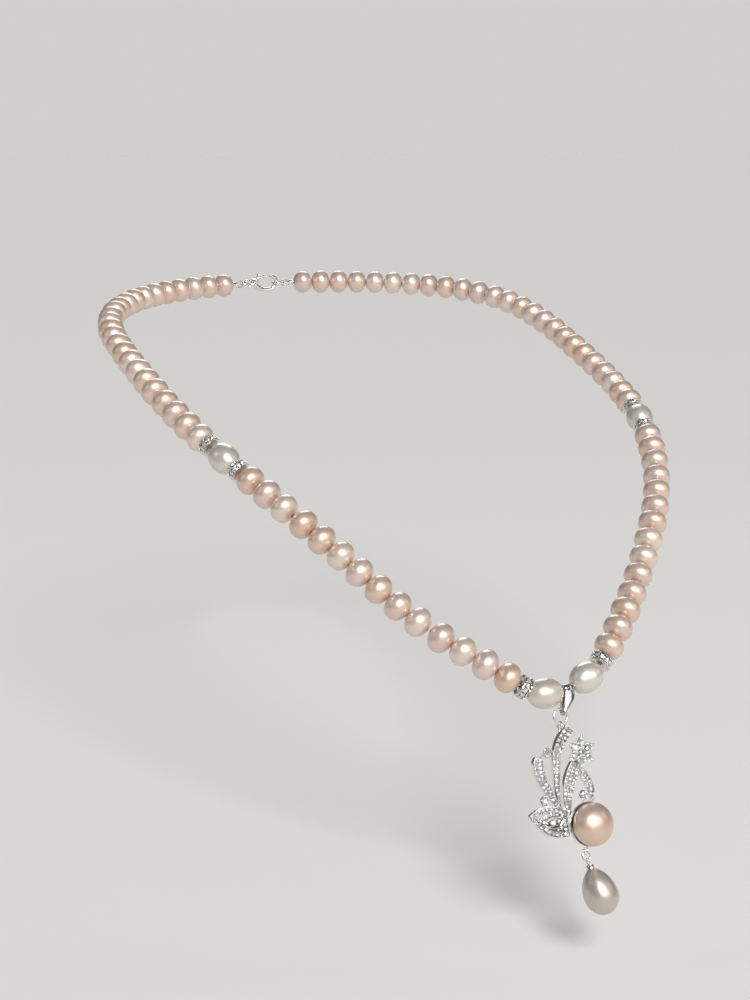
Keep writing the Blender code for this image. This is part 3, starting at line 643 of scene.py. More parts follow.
def makeRondelle(name, distance, look):
    place = beadPlace(distance)
    hub = Mould()
    half, rim = look["half"], look["radius"]
    hub.turn([
        (look["bore"], half - 0.12), (0.8, half - 0.12), (look["waist"], half - look["rimWidth"] - 0.1),
        (look["waist"], -half + look["rimWidth"] + 0.1), (0.8, -half + 0.12), (look["bore"], -half + 0.12),
    ], 48, place, closed=True)
    for side in (1, -1):
        rings = []
        for a in fullTurn(look["steps"]):
            swell = look["wave"] * (0.5 + 0.5 * math.cos(a * look["stones"]))
            outer = rim - look["wave"] + swell
            arm = spoke(a)
            section = (
                (look["waist"] - 0.75, half - 0.16), (look["waist"] - 0.2, half - 0.03), (outer - 0.18, half),
                (outer - 0.04, half - 0.07), (outer, half - 0.17), (outer - 0.04, half - 0.27),
                (outer - 0.2, half - look["rimWidth"]), (look["waist"] - 0.3, half - look["rimWidth"] - 0.05),
            )
            rings.append([place @ (arm * r + Vector((0, 0, side * h))) for r, h in section])
        hub.loft(rings, closed=True)
    gems = Mould()
    for a in fullTurn(look["stones"]):
        arm = place.to_3x3() @ spoke(a)
        seat = place @ spoke(a) + arm * (rim - look["stoneDepth"])
        gems.stone(seat, look["stoneRadius"], arm, a)
        b = a + math.pi / look["stones"]
        for side in (1, -1):
            tip = Vector((math.cos(b) * (rim - 0.2), math.sin(b) * (rim - 0.2), side * (half - 0.42)))
            hub.bead(place @ tip, look["grain"], 1.0, place.to_3x3() @ spoke(b))
    silverPiece(hub, f"{name}_rims", name, name, place=place)
    stonePiece(gems, f"{name}_stones", name, name, place=place)


for label, sign in sides:
    for name, distance in singles:
        if name.startswith("rondelle"):
            makeRondelle(f"{name}_{label}", sign * distance, rondelle)
print("rondelles set")


# the pendant, drawn as (across, up, out) on a chest that leans back

pendant = {
    "base": (0, -101, -78), "lean": 20, "ringCentre": (-3.1, -3.1, 0.9), "ringMajor": 1.65, "ringMinor": 0.29,
    "cupCentre": (-1.0, -26.7, 0.0), "bailTop": (2.445, 0.108),
}
chest = Matrix.Translation(pendant["base"]) @ Matrix.Rotation(math.radians(90 - pendant["lean"]), 4, "X")
outward = chest.to_3x3() @ Vector((0, 0, 1))


def onChest(points):
    return [chest @ Vector(p) for p in points]


bail = {
    "heights": (-2.6, -2.0, -1.0, 0.0, 1.0, 2.0, 3.2, 3.9),
    "lefts": (-2.75, -2.6, -2.2, -1.72, -1.3, -1.02, -0.92, -0.9),
    "rights": (-2.15, -1.55, -0.3, 0.75, 1.15, 1.2, 1.0, 0.88),
    "thick": 0.15, "dome": 2.5, "stations": 96, "topRadius": 0.75, "tipRadius": 0.6,
    "rear": ((2.0, -0.55), (0.6, -0.3), (-0.9, 0.05)),  # (up, out) on the way down and up again
    "face": ((-0.9, 1.4), (0.6, 1.25), (2.0, 1.05)),
}


def makeBail(look):
    def bend(centre, radius, degrees):  # (up, out) points of the strap where it turns back on itself
        angles = [math.radians(t) for t in degrees]
        return [(centre[0] + radius * math.sin(a), centre[1] + radius * math.cos(a)) for a in angles]

    tip = (pendant["ringCentre"][1] + pendant["ringMajor"] * 0.7, pendant["ringCentre"][2])
    line = bend(pendant["bailTop"], look["topRadius"], range(0, 181, 36))
    line += look["rear"]
    line += bend(tip, look["tipRadius"], range(190, 351, 40))
    line += look["face"]
    line = eased(line, look["stations"], closed=True)
    count = len(line)
    section = [(math.cos(a), 0.7 + look["dome"] * math.sin(a))
               for a in [math.radians(t) for t in range(0, 181, 15)]]
    section += [(-0.97, -0.6), (-0.9, -1), (0, -0.9), (0.9, -1), (0.97, -0.6)]
    rings = []
    for i in range(count):
        up, out = line[i]
        way = np.array(line[(i + 1) % count]) - np.array(line[i - 1])
        way /= np.linalg.norm(way)
        left = float(np.interp(up, look["heights"], look["lefts"]))
        right = float(np.interp(up, look["heights"], look["rights"]))
        ring = []
        for part, lift in section:
            across = (left + right) / 2 + part * (right - left) / 2
            ring.append((across, up - way[1] * lift * look["thick"], out + way[0] * lift * look["thick"]))
        rings.append(onChest(ring))
    strap = Mould()
    strap.loft(rings, closed=True)
    strap.piece("bail_strap", "bail", ["bail"], "bright_silver", shadedBailSilver, smooth=60)


makeBail(bail)
ringCentre = Vector(pendant["ringCentre"])
jumpRing = Mould()
ringLie = chest @ Matrix.Translation(ringCentre) @ Matrix.Rotation(2.2, 4, "Z")
jumpRing.ring(ringLie, pendant["ringMajor"], pendant["ringMinor"], 64, 16, gap=0.045)
silverPiece(jumpRing, "jump_ring", "pendant_ring", "pendant_ring", smooth=50)
print("bail and jump ring hung")


# pave ribbons: polished rails with a sunk floor of stones held by beads

rail = {
    "width": 0.24, "rise": 0.12, "sink": 0.16, "bead": 0.15, "stone": 0.86, "biggest": 0.5, "smallest": 0.2,
    "thick": 0.86, "stations": 60, "endBar": 0.19,
}


def railSection(width, back, front):
    edge = min(rail["width"], width * 0.3)
    half = width / 2
    return [
        (-half, back), (-half, front - 0.06), (-half + 0.07, front + rail["rise"]),
        (-half + edge * 0.6, front + rail["rise"] + 0.02), (-half + edge, front),
        (-half + edge + 0.03, front - rail["sink"]), (0, front - rail["sink"] + 0.02),
        (half - edge - 0.03, front - rail["sink"]), (half - edge, front),
        (half - edge * 0.6, front + rail["rise"] + 0.02), (half - 0.07, front + rail["rise"]),
        (half, front - 0.06), (half, back), (0, back - 0.02),
    ]


# hollow marks on the rail section: the sunk floor between the rails gets painted shade
railHollows = [0.0, 0.0, 0.0, 0.0, 0.25, 1.0, 1.0, 1.0, 0.25, 0.0, 0.0, 0.0, 0.0, 0.0]


def makeRibbon(name, stations, extra=None):
    line = eased(stations, rail["stations"])
    metalwork, gems = Mould(), Mould()
    rings, lengths = [], [0.0]
    for i, (x, y, width, back) in enumerate(line):
        ahead = line[min(i + 1, len(line) - 1)][:2] - line[max(i - 1, 0)][:2]
        side = Vector((-ahead[1], ahead[0], 0)).normalized()
        section = railSection(width, back, back + rail["thick"])
        rings.append(onChest([Vector((x, y, 0)) + side * s + Vector((0, 0, out)) for s, out in section]))
        if i:
            lengths.append(lengths[-1] + float(np.linalg.norm(line[i][:2] - line[i - 1][:2])))
    metalwork.loft(rings, depths=railHollows)
    for end in (0, -1):  # a rail across each end
        x, y, width, back = line[end]
        nearby = line[1 if end == 0 else -2]
        ahead = Vector((nearby[0] - x, nearby[1] - y, 0)).normalized()
        side = Vector((-ahead.y, ahead.x, 0))
        start = Vector((x, y, back + 0.8)) + ahead * 0.14
        bar = [start + side * s * (width / 2 - 0.06) for s in (-1, -0.5, 0, 0.5, 1)]
        metalwork.tube(onChest(bar), rail["endBar"], 10, normal=outward)

    def lineAt(distance, count):
        return [float(np.interp(distance, lengths, [p[k] for p in line])) for k in range(count)]

    at = 0.42
    row = 0
    while at < lengths[-1] - 0.35:
        x, y, width, back = lineAt(at, 4)
        nextX, nextY = lineAt(min(at + 0.3, lengths[-1]), 2)
        ahead = Vector((nextX - x, nextY - y, 0)).normalized()
        side = Vector((-ahead.y, ahead.x, 0))
        usable = width - 2 * min(rail["width"], width * 0.3) + 0.1
        across = max(1, round(usable / rail["stone"]))
        radius = min(rail["biggest"], usable / across / 2 * 0.98)
        if radius < rail["smallest"]:
            break
        for k in range(across):
            shift = (k - (across - 1) / 2) * usable / across
            middle = Vector((x, y, back + 0.74)) + side * shift
            tiltX = random.Random(row * 7 + k).uniform(-0.1, 0.1)
            tiltY = random.Random(row * 5 + k).uniform(-0.1, 0.1)
            gems.stone(chest @ middle, radius, chest.to_3x3() @ Vector((tiltX, tiltY, 1)), row * 0.7 + k)
        grains = [(k / across - 0.5) * usable * 0.92 for k in range(across + 1)]
        for shift in grains:
            spot = Vector((x, y, back + 0.88)) + ahead * radius * 1.02 + side * shift
            metalwork.bead(chest @ spot, rail["bead"], 1.0, outward)
        at += 2 * radius * 1.04
        row += 1
    if extra:
        extra(metalwork)
    silverPiece(metalwork, f"{name}_band", "pendant", name, smooth=35)
    stonePiece(gems, f"{name}_stones", "pendant", name)


def pendantLoop(metalwork):  # the loop that hangs in the jump ring, and its neck
    hangWay = Vector((-0.3, -0.954, 0))
    centre = ringCentre + hangWay * (pendant["ringMajor"] + 0.15)
    lie = placing(chest @ centre, chest.to_3x3() @ hangWay, outward)
    metalwork.ring(lie, 0.8, 0.22, 40, 12)
    end = centre + hangWay * 0.8
    neck = [end + Vector((0, 0.1, 0)), end + Vector((-0.1, -0.5, 0.1)), (-4.1, -7.2, 1.1), (-4.4, -8.2, 0.9)]
    metalwork.tube(onChest(eased(neck, 14)), 0.3, 12, normal=outward)


ribbons = {
    "ribbon_central": (
        (-1.95, -5.5, 2.5, 1.45), (-3.2, -7.0, 2.5, 0.9), (-4.6, -8.85, 2.3, 0.4),
        (-6.05, -12.1, 2.0, 0.4), (-6.8, -16.4, 1.5, 0.4), (-7.0, -19.8, 1.0, 0.4), (-6.85, -22.3, 0.6, 0.35),
    ),
    "ribbon_left": (
        (-10.2, -10.9, 1.9, 0.4), (-10.75, -12.4, 2.5, 0.4), (-10.5, -15.0, 2.4, 0.4),
        (-9.4, -18.0, 2.0, 0.38), (-8.0, -20.7, 1.2, 0.36), (-7.1, -22.2, 0.7, 0.32),
    ),
    "ribbon_stem": (
        (-0.7, -12.4, 2.0, 0.5), (-1.6, -13.8, 2.6, 0.45), (-2.75, -15.6, 3.0, 0.4), (-4.0, -18.0, 2.8, 0.4),
        (-4.85, -20.5, 2.1, 0.4), (-5.1, -22.6, 1.5, 0.4), (-5.0, -24.0, 1.1, 0.4),
    ),
    "ribbon_right": (
        (-1.4, -14.2, 1.3, 0.25), (-0.1, -15.8, 1.9, 0.3), (0.85, -17.7, 1.9, 0.3), (1.35, -19.7, 1.6, 0.3),
        (1.15, -22.0, 0.9, 0.3),
    ),
}
for name, stations in ribbons.items():
    makeRibbon(name, stations, pendantLoop if name == "ribbon_central" else None)
print("ribbons set")


# leaf, flower and clusters

leaf = {
    "outline": (
        (-14.8, -22.7), (-13.2, -21.75), (-11.3, -21.3), (-9.2, -21.4), (-7.3, -22.0), (-6.0, -23.2),
        (-5.7, -25.2), (-5.75, -27.0), (-6.0, -28.3), (-8.3, -28.35), (-10.6, -27.6), (-12.6, -26.0),
        (-13.9, -24.4),
    ),
    "middle": (-9.5, -24.9), "back": 0.4, "front": 1.25, "crown": 0.35, "ridgeGap": 0.32, "grain": 0.14,
    "rows": ((0.86, 0.46), (1.66, 0.36), (2.28, 0.3), (2.85, 0.28)),  # distance from the edge, stone radius
    "ridge": ((-2.4, 0.35), (-0.6, 1.25), (1.5, 1.0), (2.3, 0.1), (1.1, -1.1), (-0.9, -0.95)),
}


def shrunk(outline, middle, share, inset):  # an outline pulled to its middle by a share, then a distance
    found = []
    for x, y in outline:
        arm = Vector((x - middle[0], y - middle[1]))
        reach = max(arm.length * share - inset, 0.02)
        arm = arm.normalized() * reach
        found.append((middle[0] + arm.x, middle[1] + arm.y))
    return found


def spaced(outline, pitch):  # points at an even distance round a closed outline
    ends = outline + [outline[0]]
    lengths = [0.0]
    for (ax, ay), (bx, by) in zip(ends, ends[1:]):
        lengths.append(lengths[-1] + math.hypot(bx - ax, by - ay))
    count = max(3, int(lengths[-1] / pitch))
    steps = [lengths[-1] * k / count for k in range(count)]
    return [tuple(float(np.interp(t, lengths, [p[k] for p in ends])) for k in (0, 1)) for t in steps]


def inside(point, outline):
    x, y = point
    held = False
    for (ax, ay), (bx, by) in zip(outline, list(outline[1:]) + [outline[0]]):
        if (ay > y) != (by > y) and x < (bx - ax) * (y - ay) / (by - ay) + ax:
            held = not held
    return held


def makeLeaf(look):
    outline = [tuple(p) for p in eased(look["outline"], 78, closed=True)]
    middle = look["middle"]
    back, front, crown = look["back"], look["front"], look["crown"]
    plan = (
        (1.0, 0.0, back), (1.0, 0.0, front - 0.05), (1.0, 0.06, front + 0.1), (1.0, 0.2, front + 0.13),
        (1.0, 0.34, front + 0.02), (1.0, 0.38, front - 0.12), (0.6, 0.2, front - 0.12 + crown * 0.7),
        (0.2, 0.0, front - 0.12 + crown),
    )
    rings = [onChest([(x, y, out) for x, y in shrunk(outline, middle, share, inset)])
             for share, inset, out in plan]
    metalwork, gems = Mould(), Mould()
    # the floor inside the rim and the middle under the stones are marked hollow: the metal finish paints
    # shade there
    for ring, depth in zip(range(len(rings) - 1), (0, 0, 0, 0, 0.3, 1, 1)):
        metalwork.loft(rings[ring:ring + 2], caps=False)
        count = len(rings[0])
        metalwork.depths[-2 * count:] = [float(depth if ring > 3 else 0)] * count + [float(depth)] * count
    metalwork.add(rings[0], [tuple(range(len(rings[0])))])
    metalwork.add(rings[-1], [tuple(range(len(rings[-1])))], [1.0] * len(rings[-1]))
    ridge = [(middle[0] + x, middle[1] + y) for x, y in look["ridge"]]
    ridge = [tuple(p) for p in eased(ridge, 40, closed=True)]
    metalwork.tube(onChest([(x, y, front + 0.3) for x, y in ridge]), 0.17, 8, normal=outward, closed=True)
    clear = shrunk(ridge, middle, 1.0, -look["ridgeGap"])
    taken = []
    for inset, radius in look["rows"]:
        for x, y in spaced(shrunk(outline, middle, 1.0, inset), radius * 2.12):
            crowded = any(math.hypot(x - u, y - v) < (radius + r) * 0.96 for u, v, r in taken)
            if crowded or inside((x, y), clear):
                continue
            taken.append((x, y, radius))
            near = 1 - min(1, math.hypot(x - middle[0], y - middle[1]) / 5)
            out = front + 0.02 + crown * near * 0.7
            gems.stone(chest @ Vector((x, y, out)), radius, outward, x * 3)
            arm = Vector((x - middle[0], y - middle[1], 0)).normalized()
            side = Vector((-arm.y, arm.x, 0))
            for way in (0.5, -0.5):
                shift = side * radius * 1.05 + arm * radius * way
                metalwork.bead(chest @ (Vector((x, y, out + 0.12)) + shift), look["grain"], 1.0, outward)
    gems.stone(chest @ Vector((middle[0] - 0.05, middle[1] + 0.05, front + 0.32)), 0.78, outward)
    for x, y, radius in ((-1.45, 0.2, 0.36), (1.35, 0.15, 0.4)):  # a small stone each side of the big one
        gems.stone(chest @ Vector((middle[0] + x, middle[1] + y, front + 0.3)), radius, outward, 0.4)
    for a in [math.radians(t) for t in (45, 135, 225, 315)]:
        spot = Vector((math.cos(a) * 0.8, math.sin(a) * 0.8, 0))
        metalwork.bead(chest @ (Vector((*middle, front + 0.42)) + spot), 0.2, 1.2, outward)
    silverPiece(metalwork, "leaf_plate", "pendant", "leaf", smooth=35)
    stonePiece(gems, "leaf_stones", "pendant", "leaf")


makeLeaf(leaf)

flower = {
    "centre": (-0.2, -11.3), "back": 1.7, "front": 2.35, "turn": 20, "heart": 0.86,
    "petal": 1.92, "petalStone": 0.84, "tip": 2.98, "tipStone": 0.42, "claw": 3.5,
}


def makeFlower(look):
    metalwork, gems = Mould(), Mould()
    cx, cy = look["centre"]
    outline = []
    for a in fullTurn(96):
        swell = 0.5 + 0.5 * math.cos(6 * (a - math.radians(look["turn"])))
        reach = 2.2 + 1.2 * swell**1.2
        outline.append((cx + reach * math.cos(a), cy + reach * math.sin(a)))
    back, front = look["back"], look["front"]
    plan = ((1.0, 0.25, back), (1.0, 0.0, back + 0.25), (1.0, 0.0, front - 0.15), (1.0, 0.12, front),
            (0.5, 0.0, front - 0.1), (0.15, 0.0, front))
    metalwork.loft([onChest([(x, y, out) for x, y in shrunk(outline, (cx, cy), share, inset)])
                    for share, inset, out in plan])
    gems.stone(chest @ Vector((cx, cy, front + 0.28)), look["heart"], outward)
    for k in range(6):
        a = math.radians(look["turn"] + 60 * k)
        arm = spoke(a)
        spot = Vector((cx, cy, front + 0.16)) + arm * look["petal"]
        gems.stone(chest @ spot, look["petalStone"], chest.to_3x3() @ (Vector((0, 0, 1)) + arm * 0.15), k)
        gems.stone(chest @ (Vector((cx, cy, front + 0.12)) + arm * look["tip"]), look["tipStone"], outward, k)
        metalwork.bead(chest @ (Vector((cx, cy, front + 0.04)) + arm * look["claw"]), 0.26, 1.1, outward)
        b = a + math.radians(30)
        side = spoke(b)
        metalwork.bead(chest @ (Vector((cx, cy, front + 0.34)) + side * 1.05), 0.2, 1.2, outward)
        metalwork.bead(chest @ (Vector((cx, cy, front + 0.2)) + side * 2.1), 0.3, 1.1, outward)
    stalk = [(cx - 0.35, cy - 1.6, back + 0.1), (cx - 0.7, cy - 2.4, 1.25), (cx - 1.3, cy - 3.2, 0.85)]
    metalwork.tube(onChest(eased(stalk, 10)), 0.5, 12, normal=outward)
    silverPiece(metalwork, "flower_setting", "pendant", "flower", smooth=40)
    stonePiece(gems, "flower_stones", "pendant", "flower")


makeFlower(flower)

clusters = {
    "cluster_upper": {"centre": (-7.95, -10.15), "reach": 1.12, "arms": ((1.7, 0.1), (-2.15, -1.15))},
    "cluster_lower": {"centre": (-10.6, -20.0), "reach": 1.05, "arms": ((0.9, 0.9), (0.5, -1.3))},
    "cluster_right": {"centre": (-0.8, -20.4), "reach": 1.1, "arms": ((1.6, 0.3), (-0.1, -1.7))},
}


def makeCluster(name, look):
    metalwork, gems = Mould(), Mould()
    cx, cy = look["centre"]
    place = chest @ Matrix.Translation((cx, cy, 0))
    reach = look["reach"]
    metalwork.turn([
        (0.01, 0.42), (reach * 0.7, 0.42), (reach * 0.86, 0.8), (reach * 0.98, 1.2), (reach * 0.9, 1.28),
        (reach * 0.76, 1.16), (0.01, 1.05),
    ], 28, place)
    gems.stone(chest @ Vector((cx, cy, 1.32)), reach * 0.72, outward, 0.3)
    for k in range(5):
        a = math.radians(72 * k + 18)
        spot = Vector((cx + math.cos(a) * reach * 0.88, cy + math.sin(a) * reach * 0.88, 1.36))
        metalwork.bead(chest @ spot, 0.25, 1.2, outward)
    for x, y in look["arms"]:  # the pins that join it to its neighbours
        line = [(cx + x * t, cy + y * t, 0.8) for t in (0.4, 0.6, 0.8, 1.0)]
        metalwork.tube(onChest(line), 0.2, 10, normal=outward)
    silverPiece(metalwork, f"{name}_claws", "pendant", name, smooth=40)
    stonePiece(gems, f"{name}_stone", "pendant", name)


for name, look in clusters.items():
    makeCluster(name, look)
print("leaf, flower and clusters set")


# cup with the button pearl

cup = {
    "steps": 72, "loopReach": 5.6, "loopOut": 1.6, "loopMajor": 0.8, "loopMinor": 0.16,
    "profile": (  # up the post, down into the bowl, over the rim and back underneath
        (0.02, 2.9), (0.3, 2.9), (0.42, 2.8), (0.45, 0.85), (0.6, 0.72), (3.0, 0.7), (3.6, 0.98), (4.1, 1.45),
        (4.45, 2.0), (4.52, 2.1), (4.7, 2.16), (4.83, 2.08), (4.84, 1.9), (4.68, 1.3), (4.25, 0.82),
        (3.6, 0.5), (2.9, 0.3), (0.02, 0.28),
    ),
}
cupPlace = chest @ Matrix.Translation(pendant["cupCentre"])
rimWay = Vector((-0.33, -0.944, 0))
cupLoop = Vector(pendant["cupCentre"]) + rimWay * cup["loopReach"] + Vector((0, 0, cup["loopOut"]))
bowl = Mould()
bowl.turn(cup["profile"], cup["steps"], cupPlace)
lie = placing(chest @ cupLoop, chest.to_3x3() @ rimWay, outward)
bowl.ring(lie, cup["loopMajor"], cup["loopMinor"], 40, 12)
silverPiece(bowl, "pearl_cup_bowl", "pendant", "pearl_cup", smooth=40)

buttonPearl = {
    "radius": 4.68, "top": 3.7, "low": 2.9, "middle": 3.4, "bore": 0.75, "boreTop": 3.2, "start": -53,
    "sweep": 142.6, "around": 96, "along": 56, "dent": 0.06, "seed": 12,
}


def makeButton(look):
    drift = Vector((3.1, look["seed"], -7.4))
    rings = [circleOf(cupPlace, look["bore"], look["boreTop"], look["around"])]
    for k in range(look["along"] + 1):
        t = math.radians(look["start"] + look["sweep"] * k / look["along"])
        reach = look["radius"] * math.cos(t)
        height = look["middle"] + (look["top"] if t > 0 else look["low"]) * math.sin(t)
        if k == 0:
            rings.append(circleOf(cupPlace, look["bore"], height, look["around"]))
        ring = []
        for a in fullTurn(look["around"]):
            way = Vector((math.cos(a) * math.cos(t), math.sin(a) * math.cos(t), math.sin(t)))
            lift = look["dent"] * noise.noise(way * 1.1 + drift) + 0.012 * noise.noise(way * 6 + drift)
            point = Vector((reach * math.cos(a), reach * math.sin(a), height))
            ring.append(cupPlace @ (point + way * lift * min(1, math.cos(t) * 3)))
        rings.append(ring)
    shape = Mould()
    shape.loft(rings)
    shape.piece("button_pearl_nacre", "pendant", ["button_pearl"], "peach_pearl", buttonNacre,
                place=cupPlace, tone=0.6)


makeButton(buttonPearl)
print("button pearl set")


# link ring, cap and drop pearl

drop = {
    "linkMajor": 0.95, "linkMinor": 0.15, "linkShift": -0.12,
    "eyeMajor": 0.6, "eyeMinor": 0.17, "eyeDrop": 0.14,
    "lean": 6, "side": 11, "radius": 3.74, "length": 10.3, "widest": 0.59, "peg": 0.42,
    "around": 80, "along": 54, "dent": 0.09,
    "cap": (  # neck, dome, lip, inside and peg, as (radius, height over the cap's top)
        (0.02, 0.02), (0.2, 0.04), (0.34, -0.02), (0.38, -0.12), (0.7, -0.24), (0.84, -0.4), (0.92, -0.7),
        (0.97, -0.92), (0.93, -0.99), (0.84, -0.93), (0.66, -0.62), (0.3, -0.6), (0.3, -3.5), (0.02, -3.5),
    ),
}
linkTop = cupLoop + Vector((0, -0.28, 0))
linkCentre = linkTop + Vector((0, -drop["linkMajor"], 0))
linkRing = Mould()
linkMiddle = linkCentre + Vector((drop["linkShift"], 0, 0))
linkLie = chest @ Matrix.Translation(linkMiddle) @ Matrix.Rotation(0.5, 4, "Z")
linkRing.ring(linkLie, drop["linkMajor"], drop["linkMinor"], 48, 12, gap=0.06)
silverPiece(linkRing, "link_ring", "drop_link", "drop_link", smooth=50)

dropTurn = (chest.to_3x3() @ Matrix.Rotation(math.radians(drop["side"]), 3, "Z")
            @ Matrix.Rotation(-math.radians(drop["lean"]), 3, "X"))
dropFrame = Matrix.Translation(chest @ (linkCentre + Vector((0, -drop["linkMajor"], 0)))) @ dropTurn.to_4x4()
dropDown = dropFrame @ Matrix.Rotation(math.radians(-90), 4, "X")
capTop = -(drop["eyeDrop"] + drop["eyeMajor"] + 0.05)
cap = Mould()
eyeMiddle = dropFrame @ Vector((0, -drop["eyeDrop"], 0))
eyeLie = placing(eyeMiddle, dropTurn @ Vector((0, 1, 0)), dropTurn @ Vector((0, 0, 1)))
cap.ring(eyeLie, drop["eyeMajor"], drop["eyeMinor"], 36, 12)
cap.turn([(radius, capTop + height) for radius, height in drop["cap"]], 32, dropDown)
silverPiece(cap, "drop_cap_dome", "drop", "drop_cap", smooth=40)


def makeDrop(look):
    top = capTop - 0.9
    drift = Vector((9.2, -4.4, 2.6))
    rings = [circleOf(dropDown, look["peg"], height, look["around"]) for height in (capTop - 3.6, top - 0.12)]
    for k in range(look["along"] + 1):
        part = 0.012 + 0.987 * (0.5 - 0.5 * math.cos(math.pi * k / look["along"]))
        if part < look["widest"]:
            swell = (1 - (1 - part / look["widest"]) ** 2) ** 0.62
        else:
            swell = math.sqrt(max(0.0, 1 - ((part - look["widest"]) / (1 - look["widest"])) ** 2))
        reach = max(look["radius"] * swell, 0.03)
        height = top - look["length"] * part
        ring = []
        for a in fullTurn(look["around"]):
            way = Vector((math.cos(a), math.sin(a), height / 4))
            lift = look["dent"] * noise.noise(way * 0.9 + drift) + 0.015 * noise.noise(way * 5 + drift)
            wide = reach + lift * min(1, reach / 2)
            ring.append(dropDown @ Vector((wide * math.cos(a), wide * math.sin(a), height)))
        rings.append(ring)
    shape = Mould()
    shape.loft(rings)
    shape.piece("drop_pearl_nacre", "drop", ["drop_pearl"], "champagne_pearl", champagneNacre,
                place=dropDown, tone=0.6)


makeDrop(drop)
print("drop pearl hung")


# stringing wire: bare inside the pearls, looped and crimped at its two ends

wire = {
    "radius": 0.18, "loopRadius": 0.9, "loopReach": 1.28, "crimpLength": 1.6, "crimpRadius": 0.85,
    "crimpBore": 0.46, "bendReach": 0.9,
}


def wirePath(low, high, sign):
    points = []
    for _, start, count in runs:
        for k in range(count + 1):
            place = start + k * strand["pitch"]
            points.append((place, onStrand(sign * place)))
    for name, place in singles:
        half = strand["ovalHalf"] if name.startswith("oval") else strand["rondelleHalf"]
        middle = onStrand(sign * place)
        for step in (-half, half):
            points.append((place + step, middle + alongStrand(sign * place) * sign * step))
    held = sorted((p for p in points if low + 1 < p[0] < high - 1), key=lambda p: p[0])
    return [onStrand(sign * low)] + [p for _, p in held] + [onStrand(sign * high)]


edges = [0] + folds
for index, part in enumerate(("front", "side", "shoulder", "back")):
    low = edges[index] + strand["foldGap"] / 2
    high = edges[index + 1] - strand["foldGap"] / 2
    if index == 0:
        halves = [wirePath(0, high, sign)[1:] for _, sign in sides]
        run = Mould()
        run.tube(halves[0][::-1] + halves[1], wire["radius"], 12)
        run.piece("wire_front_run", "front_strand", ["wire_front"], "stringing_wire", wireSteel, smooth=60)
        continue
    for label, sign in sides:
        run = Mould()
        run.tube(wirePath(low, high, sign), wire["radius"], 12)
        run.piece(f"wire_{part}_run_{label}", f"{part}_strand", [f"wire_{part}_{label}"], "stringing_wire",
                  wireSteel, smooth=60)


def napeFrame(distance, sign):  # on the wire near the nape, X to the clasp, Z away from the neck
    along = alongStrand(sign * distance) * sign
    side = Vector((0, 0, 1))
    side = (side - along * side.dot(along)).normalized()
    return placing(onStrand(sign * distance), along, side)


for label, sign in sides:
    place = napeFrame(crimpStart, sign)
    length, outer = wire["crimpLength"], wire["crimpRadius"]
    middle = length + wire["loopReach"]
    reach = wire["loopRadius"]
    loop = [(middle + reach * math.cos(math.radians(t)), reach * math.sin(math.radians(t)))
            for t in range(150, -151, -10)]
    hook = [(0.1, 0.22), (length, 0.22)] + loop + [(length, -0.22), (0.2, -0.22)]
    path = [place @ Vector((x, y, 0)) for x, y in hook]
    normal = place.to_3x3() @ Vector((0, 0, 1))
    run = Mould()
    inner = wirePath(folds[3] + strand["foldGap"] / 2, crimpStart - 0.3, sign)
    run.tube(inner + path, wire["radius"], 12, normal=normal)
    run.piece(f"wire_nape_run_{label}", "nape_strand", [f"wire_nape_{label}"], "stringing_wire", wireSteel,
              smooth=60)
    crimp = Mould()
    lie = place @ Matrix.Rotation(math.radians(90), 4, "Y")
    bore = wire["crimpBore"]
    crimp.turn((
        (outer - 0.14, length), (outer, length - 0.1), (outer - 0.02, length * 0.7),
        (outer - 0.12, length * 0.5), (outer - 0.02, length * 0.3), (outer, 0.1), (outer - 0.14, 0),
        (bore + 0.04, 0), (bore, 0.3), (bore, length - 0.3), (bore + 0.04, length),
    ), 32, lie, closed=True)
    silverPiece(crimp, f"crimp_tube_{label}", "nape_strand", f"crimp_{label}", smooth=50)

joinBodies = ["nape_strand", "back_strand", "shoulder_strand", "side_strand", "front_strand"]
for index, distance in enumerate(reversed(folds)):  # short bends of wire that cross each fold
    for label, sign in sides:
        ends = [onStrand(sign * (distance + step)) for step in (wire["bendReach"], -wire["bendReach"])]
        line = [ends[0].lerp(ends[1], k / 12) for k in range(13)]
        bend = Mould()
        bend.tube(line, wire["radius"] + 0.02, 12)
        behind, ahead = joinBodies[index], joinBodies[index + 1]
        name = ahead.split("_")[0]
        made = bend.piece(f"wire_bend_{name}_{label}", None, None, "stringing_wire", wireSteel, smooth=60)
        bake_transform(made)
print("wire run through")


# lobster clasp, drawn as (along, up, out) with its middle at the nape

